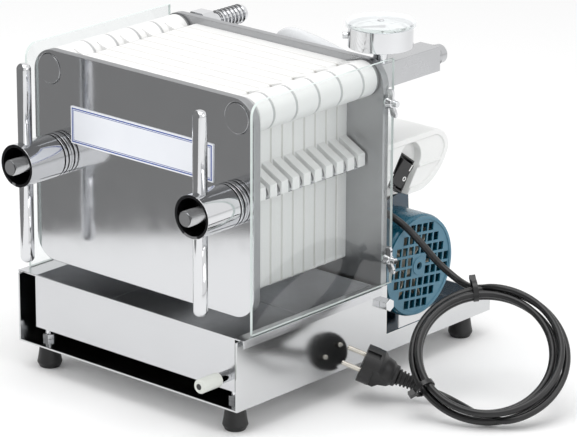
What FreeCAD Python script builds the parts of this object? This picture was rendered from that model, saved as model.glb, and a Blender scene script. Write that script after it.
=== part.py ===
import FreeCAD, Part

import math
import os

from FreeCAD import Vector

# Bench plate filter press. Millimetres, +Z up, +Y towards the motor, +X to the operator's right.
# The origin is on the bench, under the middle of the whole press, from the tie rods' ends to the base's rear wall.

# Base frame: one folded sheet on four feet
BASE_LENGTH = 380.0
BASE_WIDTH = 290.0
BASE_WALL_HEIGHT = 70.0
DECK_WALL_HEIGHT = 19.0
BASE_SHEET = 2.0
FOOT_HEIGHT = 27.0
FOOT_TOP_RADIUS = 9.0
FOOT_BOTTOM_RADIUS = 12.5
FOOT_INSET = 21.0
FOOT_NUT_RADIUS = 6.5
FOOT_NUT_HEIGHT = 5.0
FOOT_BOLT_RADIUS = 4.0
FOOT_BOLT_RISE = 10.0

# Drip tray: hangs by its flanges on the tops of the base walls
TRAY_SHEET = 1.5
TRAY_LEFT = -126.0
TRAY_RIGHT = 138.0
TRAY_FRONT_SETBACK = 5.0
TRAY_REAR_GAP = 3.0
TRAY_FLOOR_GAP = 15.5
TRAY_LIP_OVERHANG = 4.5
TRAY_LIP_HEIGHT = 8.0
SPOUT_X = 128.5
SPOUT_Z = 59.0
SPOUT_RADIUS = 5.5
SPOUT_WALL = 1.0
SPOUT_LENGTH = 17.0
SPOUT_CAP_RADIUS = 7.0
SPOUT_CAP_LENGTH = 26.0
SPOUT_CAP_OVERLAP = 4.0

# Filter pack
PLATE_COUNT = 11
PLATE_SIDE = 200.0
PLATE_THICKNESS = 13.4
PLATE_BOTTOM_Z = 117.0
PLATE_CORNER_RADIUS = 3.0
SHEET_THICKNESS = 2.5
SHEET_INSET = 0.6
HOOK_THICKNESS = 10.0
HOOK_REACH = 25.0
HOOK_ROOT_RISE = 23.0
HOOK_TIP_RISE = 9.5
HOOK_TIP_DROP = 3.0
HOOK_ROD_CLEARANCE = 0.3
PORT_X = 122.0
PORT_Z = 304.5
BARREL_RADIUS = 18.0
GASKET_THICKNESS = 3.0
GASKET_RADIUS = 17.4

# Pressure plate, back plate and rods
PRESSURE_PLATE_SETBACK = 26.0
PRESSURE_PLATE_WIDTH = 286.0
PRESSURE_PLATE_HEIGHT = 214.0
PRESSURE_PLATE_BOTTOM_Z = 109.5
PRESSURE_PLATE_THICKNESS = 9.0
STEEL_CORNER_RADIUS = 24.0
BACK_PLATE_THICKNESS = 8.0
BACK_PLATE_WALL_GAP = 0.2
ROD_X = 114.3
ROD_Z = 220.3
ROD_RADIUS = 8.0
ROD_HOLE_CLEARANCE = 0.5
ROD_SEAT_CLEARANCE = 0.1
ROD_FRONT_SHOW = 9.0
ROD_NUT_RADIUS = 13.0
ROD_NUT_THICKNESS = 9.0
PORT_PLUG_RADIUS = 14.5
PORT_PLUG_THICKNESS = 1.0
PORT_GROOVE_WIDTH = 0.8
PORT_GROOVE_DEPTH = 0.8
LABEL_WIDTH = 186.0
LABEL_HEIGHT = 37.5
LABEL_THICKNESS = 1.2
LABEL_BOTTOM_Z = 236.0
LABEL_CORNER_RADIUS = 1.0

# Hand nuts
NUT_RADIUS = 21.2
NUT_LENGTH = 54.0
NUT_WALL = 3.0
NUT_RECESS_DEPTH = 26.0
NUT_WASHER_THICKNESS = 3.0
NUT_GROOVE_WIDTH = 1.6
NUT_GROOVE_DEPTH = 1.6
NUT_RING_WIDTH = 3.5
NUT_THREAD_CLEARANCE = 0.3
BAR_RADIUS = 7.0
BAR_SPAN = 200.0
BAR_SETBACK = 12.0
BAR_END_RADIUS = 6.0

# Side guards
GUARD_THICKNESS = 3.0
GUARD_FRONT_REACH = 7.5
GUARD_REAR_REACH = 4.5
GUARD_TOP_Z = 325.6
GUARD_SEAT_GAP = 0.8
GUARD_CORNER_RADIUS = 14.0
STUD_RADIUS = 3.0
STUD_LENGTH = 15.0
STUD_HEIGHTS = (126.0, 284.0)
WING_BOSS_RADIUS = 6.0
WING_BOSS_LENGTH = 6.0
WING_REACH = 15.0
WING_THICKNESS = 3.0
WING_TURN = 12.0
GUARD_HOLE_CLEARANCE = 0.4
SIDE_BOLT_Z = 79.5
SIDE_BOLT_HEAD_RADIUS = 6.5
SIDE_BOLT_HEAD_LENGTH = 9.0

# Inlet manifold, pressure gauge, outlet nozzle and transfer hose
MANIFOLD_SIDE = 25.0
MANIFOLD_LENGTH = 90.5
NIPPLE_RADIUS = 10.5
NIPPLE_LENGTH = 15.0
GAUGE_SETBACK = 14.6
GAUGE_STEM_RADIUS = 7.0
GAUGE_CASE_BOTTOM_Z = 331.0
GAUGE_CASE_RADIUS = 31.5
GAUGE_CASE_HEIGHT = 21.0
GAUGE_CASE_WALL = 1.5
GAUGE_DIAL_DEPTH = 3.0
GAUGE_LENS_RADIUS = 34.0
GAUGE_LENS_HEIGHT = 4.0
GAUGE_LENS_EDGE = 1.5
GAUGE_PIN_RADIUS = 3.4
GAUGE_PIN_HEIGHT = 1.0
GAUGE_SCREW_ANGLE = math.radians(42.0)
GAUGE_SCREW_RADIUS = 3.2
GAUGE_SCREW_LENGTH = 5.0
NOZZLE_NECK_RADIUS = 8.0
NOZZLE_NUT_RADIUS = 16.0
NOZZLE_NUT_START = 18.0
NOZZLE_NUT_LENGTH = 16.0
NOZZLE_RIB_COUNT = 7
NOZZLE_RIB_PITCH = 5.4
NOZZLE_RIB_RADIUS = 10.2
NOZZLE_TIP_RADIUS = 8.6
NOZZLE_BORE_RADIUS = 6.0
NOZZLE_NECK_LENGTH = 48.0
HOSE_RADIUS = 11.0
HOSE_BORE_RADIUS = 8.0
HOSE_TAIL = 13.0
HOSE_RISE = 98.0
HOSE_STRAIGHT = 26.0
CLAMP_WIDTH = 9.0
CLAMP_THICKNESS = 0.8

# Motor pump unit
MOTOR_SETBACK = 60.1
MOTOR_Z = 99.5
MOTOR_RADIUS = 49.0
MOTOR_START_X = -5.0
MOTOR_END_X = 97.0
PLINTH_X = (40.0, 88.0)
PLINTH_REACH = 41.5
PLINTH_TOP_Z = 172.0
MOTOR_FOOT_X = (12.0, 78.0)
MOTOR_FOOT_SPREAD = 42.0
COVER_RADIUS = 52.0
COVER_END_X = 136.5
COVER_WALL = 2.0
COVER_EDGE_RADIUS = 5.0
COVER_CLEARANCE = 1.0
COVER_RIM_WIDTH = 3.0
COVER_RIM_HEIGHT = 1.0
GRILLE_PITCH_Y = 9.3
GRILLE_PITCH_Z = 11.0
GRILLE_HOLE_WIDTH = 7.0
GRILLE_HOLE_HEIGHT = 8.2
GRILLE_TURN = 7.0
GRILLE_RADIUS = 46.5
GRILLE_HUB_RADIUS = 9.0
GRILLE_HUB_HEIGHT = 1.0
GRILLE_HUB_HOLE = 3.8
FAN_RADIUS = 43.0
FAN_HUB_RADIUS = 12.0
FAN_BLADES = 7
FAN_START_X = 104.0
FAN_LENGTH = 20.0
FAN_BLADE_THICKNESS = 2.0
SHAFT_RADIUS = 6.0
SHAFT_CLEARANCE = 0.06
SHAFT_SOCKET = 12.0
PUMP_RADIUS = 42.0
PUMP_LENGTH = 46.0
ADAPTOR_RADIUS = 34.0
ADAPTOR_LENGTH = 14.0
PUMP_PORT_RADIUS = 10.0
PUMP_PORT_RISE = 14.0

# Switch box
SWITCH_X = (30.0, 126.0)
SWITCH_DEPTH = 102.0
SWITCH_HEIGHT = 58.0
BOX_RIM_WIDTH = 6.0
BOX_PANEL_DEPTH = 1.5
BOX_SEAM_RISE = 24.0
BOX_RIB_WIDTH = 2.5
BOX_RIB_SETBACK = 14.0
ROCKER_ARCH_SETBACK = 45.0
ROCKER_ARCH_DROP = 22.0
ROCKER_LEAN = 35.0
ROCKER_POCKET_RADIUS = 16.0
ROCKER_POCKET_DEPTH = 10.0
ROCKER_FRAME_LENGTH = 35.0
ROCKER_FRAME_WIDTH = 24.0
ROCKER_FRAME_THICKNESS = 8.0
ROCKER_FRAME_RIM = 2.0
ROCKER_FIT = 0.3
ROCKER_SIDE_GAP = 0.5
ROCKER_PIVOT_DEPTH = 6.5

# Mains cord: a lead from the gland to the coil, the coil, and a tail from the coil to the plug
CORD_RADIUS = 3.5
GLAND_FORWARD = 32.0
GLAND_Z = 160.0
GLAND_RADIUS = 8.0
GLAND_TIP_RADIUS = 5.0
GLAND_LENGTH = 24.0
CORD_LEAD = [
    (126.0, 72.5, 156.5), (142.5, 77.0, 147.5), (156.0, 85.5, 131.0), (170.0, 90.0, 115.5),
    (186.0, 92.5, 105.5), (203.0, 91.5, 99.5), (220.0, 88.0, 99.5), (237.0, 89.5, 101.5),
]
COIL_CENTRE = Vector(268.8, 47.7, 56.0)
COIL_RADIUS = 71.0
COIL_SECTION_RADIUS = 9.5
COIL_TILT = 40.0
COIL_HEADING = 129.3
PLUG_REAR = Vector(214.7, 16.8, 17.1)
PLUG_HEADING = Vector(-0.770, -0.518, 0.360)
PLUG_BODY_RADIUS = 19.0
PLUG_LENGTH = 62.0
PLUG_PIN_RADIUS = 2.4
PLUG_PIN_LENGTH = 19.0
PLUG_PIN_SPREAD = 19.0
PLUG_SLOT_WIDTH = 6.0
PLUG_SLOT_DEPTH = 3.0
PLUG_SLOT_LENGTH = 14.0
PLUG_GRIP_WIDTH = 27.0
RELIEF_RADIUS = 6.2
RIB_COUNT = 7
RIB_PITCH = 3.7
RIB_DEPTH = 1.6
RIB_GROWTH = 0.35
CORD_TAIL = [(231.6, 28.2, 9.2), (256.0, 28.0, 5.5), (281.0, 20.0, 5.0), (305.0, 8.5, 9.5)]
TIE_TURNS = (100.0, 212.0)
TIE_WIDTH = 5.0
TIE_THICKNESS = 1.4
TIE_HEAD = 6.0

# Places that follow from the sizes above
front_overhang = NUT_LENGTH + ROD_FRONT_SHOW - PRESSURE_PLATE_SETBACK
base_front = (front_overhang - BASE_LENGTH) / 2
base_rear = base_front + BASE_LENGTH
base_side = BASE_WIDTH / 2
floor_top = FOOT_HEIGHT + BASE_SHEET
wall_top = FOOT_HEIGHT + BASE_WALL_HEIGHT
press_front = base_front + PRESSURE_PLATE_SETBACK
press_back = press_front + PRESSURE_PLATE_THICKNESS
plate_pitch = PLATE_THICKNESS + SHEET_THICKNESS
pack_back = press_back + PLATE_COUNT * PLATE_THICKNESS + (PLATE_COUNT - 1) * SHEET_THICKNESS
back_rear = pack_back + BACK_PLATE_THICKNESS
press_top = PRESSURE_PLATE_BOTTOM_Z + PRESSURE_PLATE_HEIGHT
guard_inner = base_side
nut_front = press_front - NUT_LENGTH
gauge_y = back_rear + GAUGE_SETBACK
motor_y = back_rear + MOTOR_SETBACK
switch_front = back_rear + GAUGE_SETBACK
switch_rear = switch_front + SWITCH_DEPTH
switch_top = PLINTH_TOP_Z + SWITCH_HEIGHT

X_AXIS = Vector(1, 0, 0)
Y_AXIS = Vector(0, 1, 0)
Z_AXIS = Vector(0, 0, 1)

parts = {}


def block(x, y, z):
    """A box from three (low, high) pairs."""
    return Part.makeBox(x[1] - x[0], y[1] - y[0], z[1] - z[0], Vector(x[0], y[0], z[0]))


def rod(radius, start, end):
    """A round bar between two points."""
    return Part.makeCylinder(radius, (end - start).Length, start, end - start)


def along_y(points, start, end):
    """A prism whose (x, z) outline runs from y = start to y = end."""
    outline = [Vector(x, start, z) for x, z in points]
    return Part.Face(Part.makePolygon(outline + outline[:1])).extrude(Vector(0, end - start, 0))


def along_x(wire, length):
    """A prism of a closed wire that lies across X."""
    return Part.Face(wire).extrude(Vector(length, 0, 0))


def hexagon(radius, start, axis, length):
    """A hexagonal nut or bolt head that grows from start along axis, its corners at radius."""
    corners = [
        Vector(radius * math.cos(math.radians(60 * k)), radius * math.sin(math.radians(60 * k)), 0)
        for k in range(6)
    ]
    solid = Part.Face(Part.makePolygon(corners + corners[:1])).extrude(Vector(0, 0, length))
    solid.Placement = FreeCAD.Placement(start, FreeCAD.Rotation(Z_AXIS, axis))
    return solid


def edges_along(shape, axis, where):
    """Straight edges of a solid that run along axis and whose middle passes the test."""
    chosen = []
    for edge in shape.Edges:
        start, end = edge.Vertexes[0].Point, edge.Vertexes[-1].Point
        middle = (start + end) * 0.5
        if (end - start).cross(axis).Length < 1e-6 and (end - start).Length > 1e-6 and where(middle):
            chosen.append(edge)
    return chosen


def plate_centre(index):
    """Y of the middle of a filter plate, counted from the pressure plate."""
    return press_back + PLATE_THICKNESS / 2 + index * plate_pitch


# Base frame: floor, tall walls beside the tray, low walls round the motor deck
def base_frame():
    deck_start = back_rear + 2.0
    outer = block((-base_side, base_side), (base_front, base_rear), (FOOT_HEIGHT, wall_top))
    inside = block(
        (-base_side + BASE_SHEET, base_side - BASE_SHEET),
        (base_front - 1, base_rear - BASE_SHEET),
        (floor_top, wall_top + 1),
    )
    above_deck = block(
        (-base_side - 1, base_side + 1),
        (deck_start, base_rear + 1),
        (FOOT_HEIGHT + DECK_WALL_HEIGHT, wall_top + 1),
    )
    frame = outer.cut(inside).cut(above_deck)
    for x, y in foot_places():
        frame = frame.cut(rod(FOOT_BOLT_RADIUS, Vector(x, y, 0), Vector(x, y, floor_top + 1)))
    parts["base_frame"] = frame


def foot_places():
    """Centres of the four feet, front left first and rear right last."""
    x = base_side - FOOT_INSET
    return [(-x, base_front + FOOT_INSET), (x, base_front + FOOT_INSET),
            (-x, base_rear - FOOT_INSET), (x, base_rear - FOOT_INSET)]


# Feet: conical rubber, each held by a bolt whose nut stands on the base floor
def feet():
    feet_solids = []
    bolts = []
    for x, y in foot_places():
        outline = Part.makePolygon([
            Vector(x, y, 0), Vector(x + FOOT_BOTTOM_RADIUS - 2.5, y, 0), Vector(x + FOOT_BOTTOM_RADIUS, y, 5),
            Vector(x + FOOT_BOTTOM_RADIUS - 1.2, y, 11), Vector(x + FOOT_TOP_RADIUS, y, FOOT_HEIGHT),
            Vector(x, y, FOOT_HEIGHT), Vector(x, y, 0)])
        foot = Part.Face(outline).revolve(Vector(x, y, 0), Z_AXIS, 360)
        socket = rod(FOOT_BOLT_RADIUS, Vector(x, y, FOOT_HEIGHT / 2), Vector(x, y, FOOT_HEIGHT + 1))
        feet_solids.append(foot.cut(socket))
        bolt = rod(FOOT_BOLT_RADIUS, Vector(x, y, FOOT_HEIGHT / 2), Vector(x, y, floor_top + FOOT_BOLT_RISE))
        nut = hexagon(FOOT_NUT_RADIUS, Vector(x, y, floor_top), Z_AXIS, FOOT_NUT_HEIGHT)
        bolts.append(bolt.fuse(nut).removeSplitter())
    parts["feet"] = Part.makeCompound(feet_solids)
    parts["foot_bolts"] = Part.makeCompound(bolts)


# Drip tray: an open pan whose flanges rest on the base walls and fold down outside them
def drip_tray():
    front = base_front + TRAY_FRONT_SETBACK
    rear = pack_back - TRAY_REAR_GAP
    bottom = floor_top + TRAY_FLOOR_GAP
    top = wall_top + TRAY_SHEET
    edge = base_side + TRAY_LIP_OVERHANG
    pan = block((TRAY_LEFT, TRAY_RIGHT), (front, rear), (bottom, top))
    flange = block((-edge, edge), (front, rear), (wall_top, top))
    lips = block((-edge, edge), (front, rear), (top - TRAY_LIP_HEIGHT, top)).cut(
        block((-edge + TRAY_SHEET, edge - TRAY_SHEET), (front - 1, rear + 1), (0, wall_top)))
    hollow = block((TRAY_LEFT + TRAY_SHEET, TRAY_RIGHT - TRAY_SHEET),
                   (front + TRAY_SHEET, rear - TRAY_SHEET), (bottom + TRAY_SHEET, top + 1))
    tray = pan.fuse([flange, lips]).cut(hollow)
    outlet = rod(SPOUT_RADIUS - SPOUT_WALL, Vector(SPOUT_X, front - 1, SPOUT_Z),
                 Vector(SPOUT_X, front + 5, SPOUT_Z))
    parts["drip_tray"] = tray.cut(outlet).removeSplitter()

    spout_end = front - SPOUT_LENGTH
    pipe = rod(SPOUT_RADIUS, Vector(SPOUT_X, front, SPOUT_Z), Vector(SPOUT_X, spout_end, SPOUT_Z))
    bore = rod(SPOUT_RADIUS - SPOUT_WALL, Vector(SPOUT_X, front + 1, SPOUT_Z),
               Vector(SPOUT_X, spout_end - 1, SPOUT_Z))
    parts["drain_spout"] = pipe.cut(bore)
    cap_start = spout_end + SPOUT_CAP_OVERLAP
    cap_end = cap_start - SPOUT_CAP_LENGTH
    cap = rod(SPOUT_CAP_RADIUS, Vector(SPOUT_X, cap_start, SPOUT_Z), Vector(SPOUT_X, cap_end, SPOUT_Z))
    cap = cap.makeFillet(2.0, [cap.Edges[k] for k in range(3) if cap.Edges[k].CenterOfMass.y < cap_end + 0.1])
    socket = rod(SPOUT_RADIUS, Vector(SPOUT_X, cap_start + 1, SPOUT_Z), Vector(SPOUT_X, spout_end, SPOUT_Z))
    parts["drain_cap"] = cap.cut(socket)


# Filter plates: a square slab, a hook each side over the tie rods, and a port barrel at one top corner
def filter_plate(index):
    middle = plate_centre(index)
    start, end = middle - PLATE_THICKNESS / 2, middle + PLATE_THICKNESS / 2
    half = PLATE_SIDE / 2
    top = PLATE_BOTTOM_Z + PLATE_SIDE
    slab = block((-half, half), (start, end), (PLATE_BOTTOM_Z, top))
    slab = slab.makeFillet(PLATE_CORNER_RADIUS, edges_along(slab, Y_AXIS, lambda p: True))

    notch_radius = ROD_RADIUS + HOOK_ROD_CLEARANCE
    hook_outline = [
        (half - 1, ROD_Z + HOOK_ROOT_RISE + 1), (half, ROD_Z + HOOK_ROOT_RISE),
        (half + HOOK_REACH, ROD_Z + HOOK_TIP_RISE), (half + HOOK_REACH, ROD_Z - HOOK_TIP_DROP),
        (half + 4, ROD_Z - HOOK_TIP_DROP), (half - 1, ROD_Z - HOOK_TIP_DROP - 5),
    ]
    front_y, back_y = middle - HOOK_THICKNESS / 2, middle + HOOK_THICKNESS / 2
    hook = along_y(hook_outline, front_y, back_y)
    notch = rod(notch_radius, Vector(ROD_X, start, ROD_Z), Vector(ROD_X, end, ROD_Z))
    below_rod = block((ROD_X - notch_radius, ROD_X + notch_radius), (start, end), (ROD_Z - 20, ROD_Z))
    hook = hook.cut(notch.fuse(below_rod))

    side = 1 if index % 2 == 0 else -1
    barrel_start, barrel_end = barrel_span(index)
    barrel = rod(BARREL_RADIUS, Vector(PORT_X, barrel_start, PORT_Z), Vector(PORT_X, barrel_end, PORT_Z))
    web_outline = [
        (half - 2, top), (half, top), (PORT_X - 4, PORT_Z + BARREL_RADIUS - 0.5), (PORT_X, PORT_Z),
        (PORT_X - 4, PORT_Z - BARREL_RADIUS + 0.5), (half + 3, PORT_Z - BARREL_RADIUS - 2),
        (half, PORT_Z - BARREL_RADIUS - 12), (half - 2, PORT_Z - BARREL_RADIUS - 12),
    ]
    web = along_y(web_outline, max(start, barrel_start), min(end, barrel_end))
    ear = barrel.fuse(web)
    if side < 0:
        ear = ear.mirror(Vector(), X_AXIS)
    return slab.fuse([hook, hook.mirror(Vector(), X_AXIS), ear]).removeSplitter()


def barrel_span(index):
    """Start and end of a plate's port barrel, with room for a gasket at each end."""
    reach = plate_pitch - GASKET_THICKNESS / 2
    start = plate_centre(index) - reach
    end = plate_centre(index) + reach
    if index < 2:
        start = press_back + GASKET_THICKNESS
    if index > PLATE_COUNT - 3:
        end = pack_back - GASKET_THICKNESS
    return start, end


def gasket_stack(side, indices):
    """The rubber rings before, between and behind the barrels of one side."""
    rings = []
    edges = [press_back]
    for index in indices:
        start, end = barrel_span(index)
        rings.append((edges[-1], start))
        edges.append(end)
    rings.append((edges[-1], pack_back))
    return [rod(GASKET_RADIUS, Vector(side * PORT_X, start, PORT_Z), Vector(side * PORT_X, end, PORT_Z))
            for start, end in rings]


def filter_pack():
    right_ports = range(0, PLATE_COUNT, 2)
    left_ports = range(1, PLATE_COUNT, 2)
    parts["filter_plates_port_right"] = Part.makeCompound([filter_plate(index) for index in right_ports])
    parts["filter_plates_port_left"] = Part.makeCompound([filter_plate(index) for index in left_ports])
    half = PLATE_SIDE / 2 - SHEET_INSET
    sheets = []
    for index in range(PLATE_COUNT - 1):
        start = plate_centre(index) + PLATE_THICKNESS / 2
        sheets.append(block((-half, half), (start, start + SHEET_THICKNESS),
                            (PLATE_BOTTOM_Z + SHEET_INSET, PLATE_BOTTOM_Z + PLATE_SIDE - SHEET_INSET)))
    parts["filter_sheets"] = Part.makeCompound(sheets)
    parts["port_gaskets"] = Part.makeCompound(gasket_stack(1, right_ports) + gasket_stack(-1, left_ports))


# Pressure plate: thick steel with round corners, sliding on the tie rods
def pressure_plate():
    half = PRESSURE_PLATE_WIDTH / 2
    plate = block((-half, half), (press_front, press_back), (PRESSURE_PLATE_BOTTOM_Z, press_top))
    plate = plate.makeFillet(STEEL_CORNER_RADIUS, edges_along(plate, Y_AXIS, lambda p: True))
    for side in (-1, 1):
        plate = plate.cut(rod(ROD_RADIUS + ROD_HOLE_CLEARANCE, Vector(side * ROD_X, press_front - 1, ROD_Z),
                              Vector(side * ROD_X, press_back + 1, ROD_Z)))
        plug_face = Vector(side * PORT_X, press_front, PORT_Z)
        groove = rod(PORT_PLUG_RADIUS + PORT_GROOVE_WIDTH, plug_face - Y_AXIS, plug_face + Y_AXIS * PORT_GROOVE_DEPTH)
        plate = plate.cut(groove.cut(rod(PORT_PLUG_RADIUS, plug_face - Y_AXIS * 2, plug_face + Y_AXIS * 2)))
    parts["pressure_plate"] = plate
    parts["port_plugs"] = Part.makeCompound([
        rod(PORT_PLUG_RADIUS, Vector(side * PORT_X, press_front, PORT_Z),
            Vector(side * PORT_X, press_front - PORT_PLUG_THICKNESS, PORT_Z))
        for side in (-1, 1)])
    label = block((-LABEL_WIDTH / 2, LABEL_WIDTH / 2), (press_front - LABEL_THICKNESS, press_front),
                  (LABEL_BOTTOM_Z, LABEL_BOTTOM_Z + LABEL_HEIGHT))
    parts["label_plate"] = label.makeFillet(LABEL_CORNER_RADIUS, edges_along(label, Y_AXIS, lambda p: True))


# Back plate: stands on the base floor between the walls, with shoulders on their tops
def back_plate():
    between = base_side - BASE_SHEET - BACK_PLATE_WALL_GAP
    upper = block((-base_side, base_side), (pack_back, back_rear), (wall_top, press_top))
    upper = upper.makeFillet(STEEL_CORNER_RADIUS,
                             edges_along(upper, Y_AXIS, lambda p: p.z > press_top - 1))
    lower = block((-between, between), (pack_back, back_rear), (floor_top, wall_top))
    plate = upper.fuse(lower).removeSplitter()
    for side in (-1, 1):
        plate = plate.cut(rod(ROD_RADIUS + ROD_SEAT_CLEARANCE, Vector(side * ROD_X, pack_back - 1, ROD_Z),
                              Vector(side * ROD_X, back_rear + 1, ROD_Z)))
    parts["back_plate"] = plate


# Tie rods: round bars held by a nut behind the back plate, their threaded ends past the hand nuts
def tie_rods():
    for name, side in (("left", -1), ("right", 1)):
        bar = rod(ROD_RADIUS, Vector(side * ROD_X, nut_front - ROD_FRONT_SHOW, ROD_Z),
                  Vector(side * ROD_X, back_rear + ROD_NUT_THICKNESS + 2, ROD_Z))
        bar = bar.makeChamfer(1.2, [e for e in bar.Edges if e.CenterOfMass.y < nut_front])
        nut = hexagon(ROD_NUT_RADIUS, Vector(side * ROD_X, back_rear, ROD_Z), Y_AXIS, ROD_NUT_THICKNESS)
        parts["tie_rod_" + name] = bar.fuse(nut).removeSplitter()


# Hand nuts: a tube with a threaded bush, grooved at the plate end, and a bar welded above and below
def hand_nuts():
    for name, side in (("left", -1), ("right", 1)):
        x = side * ROD_X
        washer_front = press_front - NUT_WASHER_THICKNESS
        tube = rod(NUT_RADIUS, Vector(x, nut_front, ROD_Z), Vector(x, press_front, ROD_Z))
        recess = rod(NUT_RADIUS - NUT_WALL, Vector(x, nut_front - 1, ROD_Z),
                     Vector(x, nut_front + NUT_RECESS_DEPTH, ROD_Z))
        thread = rod(ROD_RADIUS + NUT_THREAD_CLEARANCE, Vector(x, nut_front, ROD_Z),
                     Vector(x, press_front + 1, ROD_Z))
        tube = tube.cut(recess.fuse(thread))
        groove_y = washer_front - NUT_GROOVE_WIDTH
        for y in (groove_y, groove_y - NUT_RING_WIDTH - NUT_GROOVE_WIDTH):
            ring = rod(NUT_RADIUS + 1, Vector(x, y, ROD_Z), Vector(x, y + NUT_GROOVE_WIDTH, ROD_Z))
            core = rod(NUT_RADIUS - NUT_GROOVE_DEPTH, Vector(x, y - 1, ROD_Z),
                       Vector(x, y + NUT_GROOVE_WIDTH + 1, ROD_Z))
            tube = tube.cut(ring.cut(core))
        parts["hand_nut_" + name] = tube

        bar_y = nut_front + BAR_SETBACK
        inner = math.sqrt(NUT_RADIUS ** 2 - BAR_RADIUS ** 2)
        halves = []
        for up in (-1, 1):
            half = rod(BAR_RADIUS, Vector(x, bar_y, ROD_Z + up * (inner - 1)),
                       Vector(x, bar_y, ROD_Z + up * BAR_SPAN / 2))
            outer_edges = [e for e in half.Edges if abs(e.CenterOfMass.z - ROD_Z) > BAR_SPAN / 2 - 0.1]
            half = half.makeFillet(BAR_END_RADIUS, outer_edges)
            whole = rod(NUT_RADIUS, Vector(x, nut_front, ROD_Z), Vector(x, press_front, ROD_Z))
            halves.append(half.cut(whole))
        parts["turning_bar_" + name] = Part.makeCompound(halves)


# Side guards: clear sheets bolted to the edges of the back plate by studs with wing nuts
def side_guards():
    start, end = press_front - GUARD_FRONT_REACH, back_rear + GUARD_REAR_REACH
    bottom = wall_top + TRAY_SHEET + GUARD_SEAT_GAP
    stud_y = (pack_back + back_rear) / 2
    for name, side in (("left", -1), ("right", 1)):
        inner, outer = side * guard_inner, side * (guard_inner + GUARD_THICKNESS)
        sheet = block(sorted((inner, outer)), (start, end), (bottom, GUARD_TOP_Z))
        sheet = sheet.makeFillet(GUARD_CORNER_RADIUS, edges_along(
            sheet, X_AXIS, lambda p: p.y < start + 1 and p.z > GUARD_TOP_Z - 1))
        fasteners = []
        for z in STUD_HEIGHTS:
            hole = rod(STUD_RADIUS + GUARD_HOLE_CLEARANCE, Vector(inner - side, stud_y, z),
                       Vector(outer + side, stud_y, z))
            sheet = sheet.cut(hole)
            fasteners.append(wing_nut(side, outer, stud_y, z))
        parts["side_guard_" + name] = sheet
        parts["wing_nuts_" + name] = Part.makeCompound(fasteners)
    heads = []
    for side in (-1, 1):
        start_x = Vector(side * base_side, stud_y, SIDE_BOLT_Z)
        head = hexagon(SIDE_BOLT_HEAD_RADIUS, start_x, Vector(side, 0, 0), SIDE_BOLT_HEAD_LENGTH)
        heads.append(head)
    parts["base_side_bolts"] = Part.makeCompound(heads)


def wing_nut(side, seat, y, z):
    """A stud from the back plate's edge with a wing nut on the guard's outer face."""
    out = Vector(side, 0, 0)
    edge = Vector(side * guard_inner, y, z)
    seat_point = Vector(seat, y, z)
    stud = rod(STUD_RADIUS, edge, edge + out * STUD_LENGTH)
    boss = Part.makeCone(WING_BOSS_RADIUS, WING_BOSS_RADIUS - 1.5, WING_BOSS_LENGTH, seat_point, out)
    solid = stud.fuse(boss)
    for up in (-1, 1):
        outline = [(1.0, 0), (WING_BOSS_LENGTH, 0), (WING_BOSS_LENGTH + 3, WING_REACH - 4),
                   (WING_BOSS_LENGTH + 2, WING_REACH), (WING_BOSS_LENGTH - 4, WING_REACH - 1), (1.5, WING_BOSS_RADIUS)]
        corners = [seat_point + out * x + Vector(0, -WING_THICKNESS / 2, up * r) for x, r in outline]
        wing = Part.Face(Part.makePolygon(corners + corners[:1])).extrude(Y_AXIS * WING_THICKNESS)
        wing.rotate(seat_point, out, WING_TURN)
        solid = solid.fuse(wing)
    return solid.removeSplitter()


# Inlet manifold: square tube from the right port, with a threaded nipple and the gauge on top
def manifold():
    half = MANIFOLD_SIDE / 2
    end = back_rear + MANIFOLD_LENGTH
    body = block((PORT_X - half, PORT_X + half), (back_rear, end), (PORT_Z - half, PORT_Z + half))
    nipple = rod(NIPPLE_RADIUS, Vector(PORT_X, end, PORT_Z), Vector(PORT_X, end + NIPPLE_LENGTH, PORT_Z))
    side_tail = rod(HOSE_BORE_RADIUS, Vector(PORT_X - half, gauge_y, PORT_Z),
                    Vector(PORT_X - half - HOSE_TAIL, gauge_y, PORT_Z))
    parts["inlet_manifold"] = body.fuse([nipple, side_tail])


def pressure_gauge():
    centre = Vector(PORT_X, gauge_y, 0)
    stem_bottom = PORT_Z + MANIFOLD_SIDE / 2
    case_top = GAUGE_CASE_BOTTOM_Z + GAUGE_CASE_HEIGHT
    stem = rod(GAUGE_STEM_RADIUS, centre + Z_AXIS * stem_bottom, centre + Z_AXIS * GAUGE_CASE_BOTTOM_Z)
    case = rod(GAUGE_CASE_RADIUS, centre + Z_AXIS * GAUGE_CASE_BOTTOM_Z, centre + Z_AXIS * case_top)
    well = rod(GAUGE_CASE_RADIUS - GAUGE_CASE_WALL, centre + Z_AXIS * (case_top - GAUGE_DIAL_DEPTH),
               centre + Z_AXIS * (case_top + 1))
    screw_way = Vector(-math.cos(GAUGE_SCREW_ANGLE), -math.sin(GAUGE_SCREW_ANGLE), 0)
    screw_foot = centre + Z_AXIS * (GAUGE_CASE_BOTTOM_Z + GAUGE_CASE_HEIGHT / 2) + screw_way * (GAUGE_CASE_RADIUS - 2)
    screw = rod(GAUGE_SCREW_RADIUS, screw_foot, screw_foot + screw_way * (2 + GAUGE_SCREW_LENGTH))
    parts["gauge_case"] = stem.fuse([case, screw]).cut(well).removeSplitter()

    lens = rod(GAUGE_LENS_RADIUS, centre + Z_AXIS * case_top, centre + Z_AXIS * (case_top + GAUGE_LENS_HEIGHT))
    lens = lens.makeFillet(GAUGE_LENS_EDGE, [edge for edge in lens.Edges if edge.CenterOfMass.z > case_top + 1
                                             and len(edge.Vertexes) == 1])
    parts["gauge_lens"] = lens
    pin_bottom = centre + Z_AXIS * (case_top + GAUGE_LENS_HEIGHT)
    parts["gauge_screw"] = rod(GAUGE_PIN_RADIUS, pin_bottom, pin_bottom + Z_AXIS * GAUGE_PIN_HEIGHT)


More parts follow.
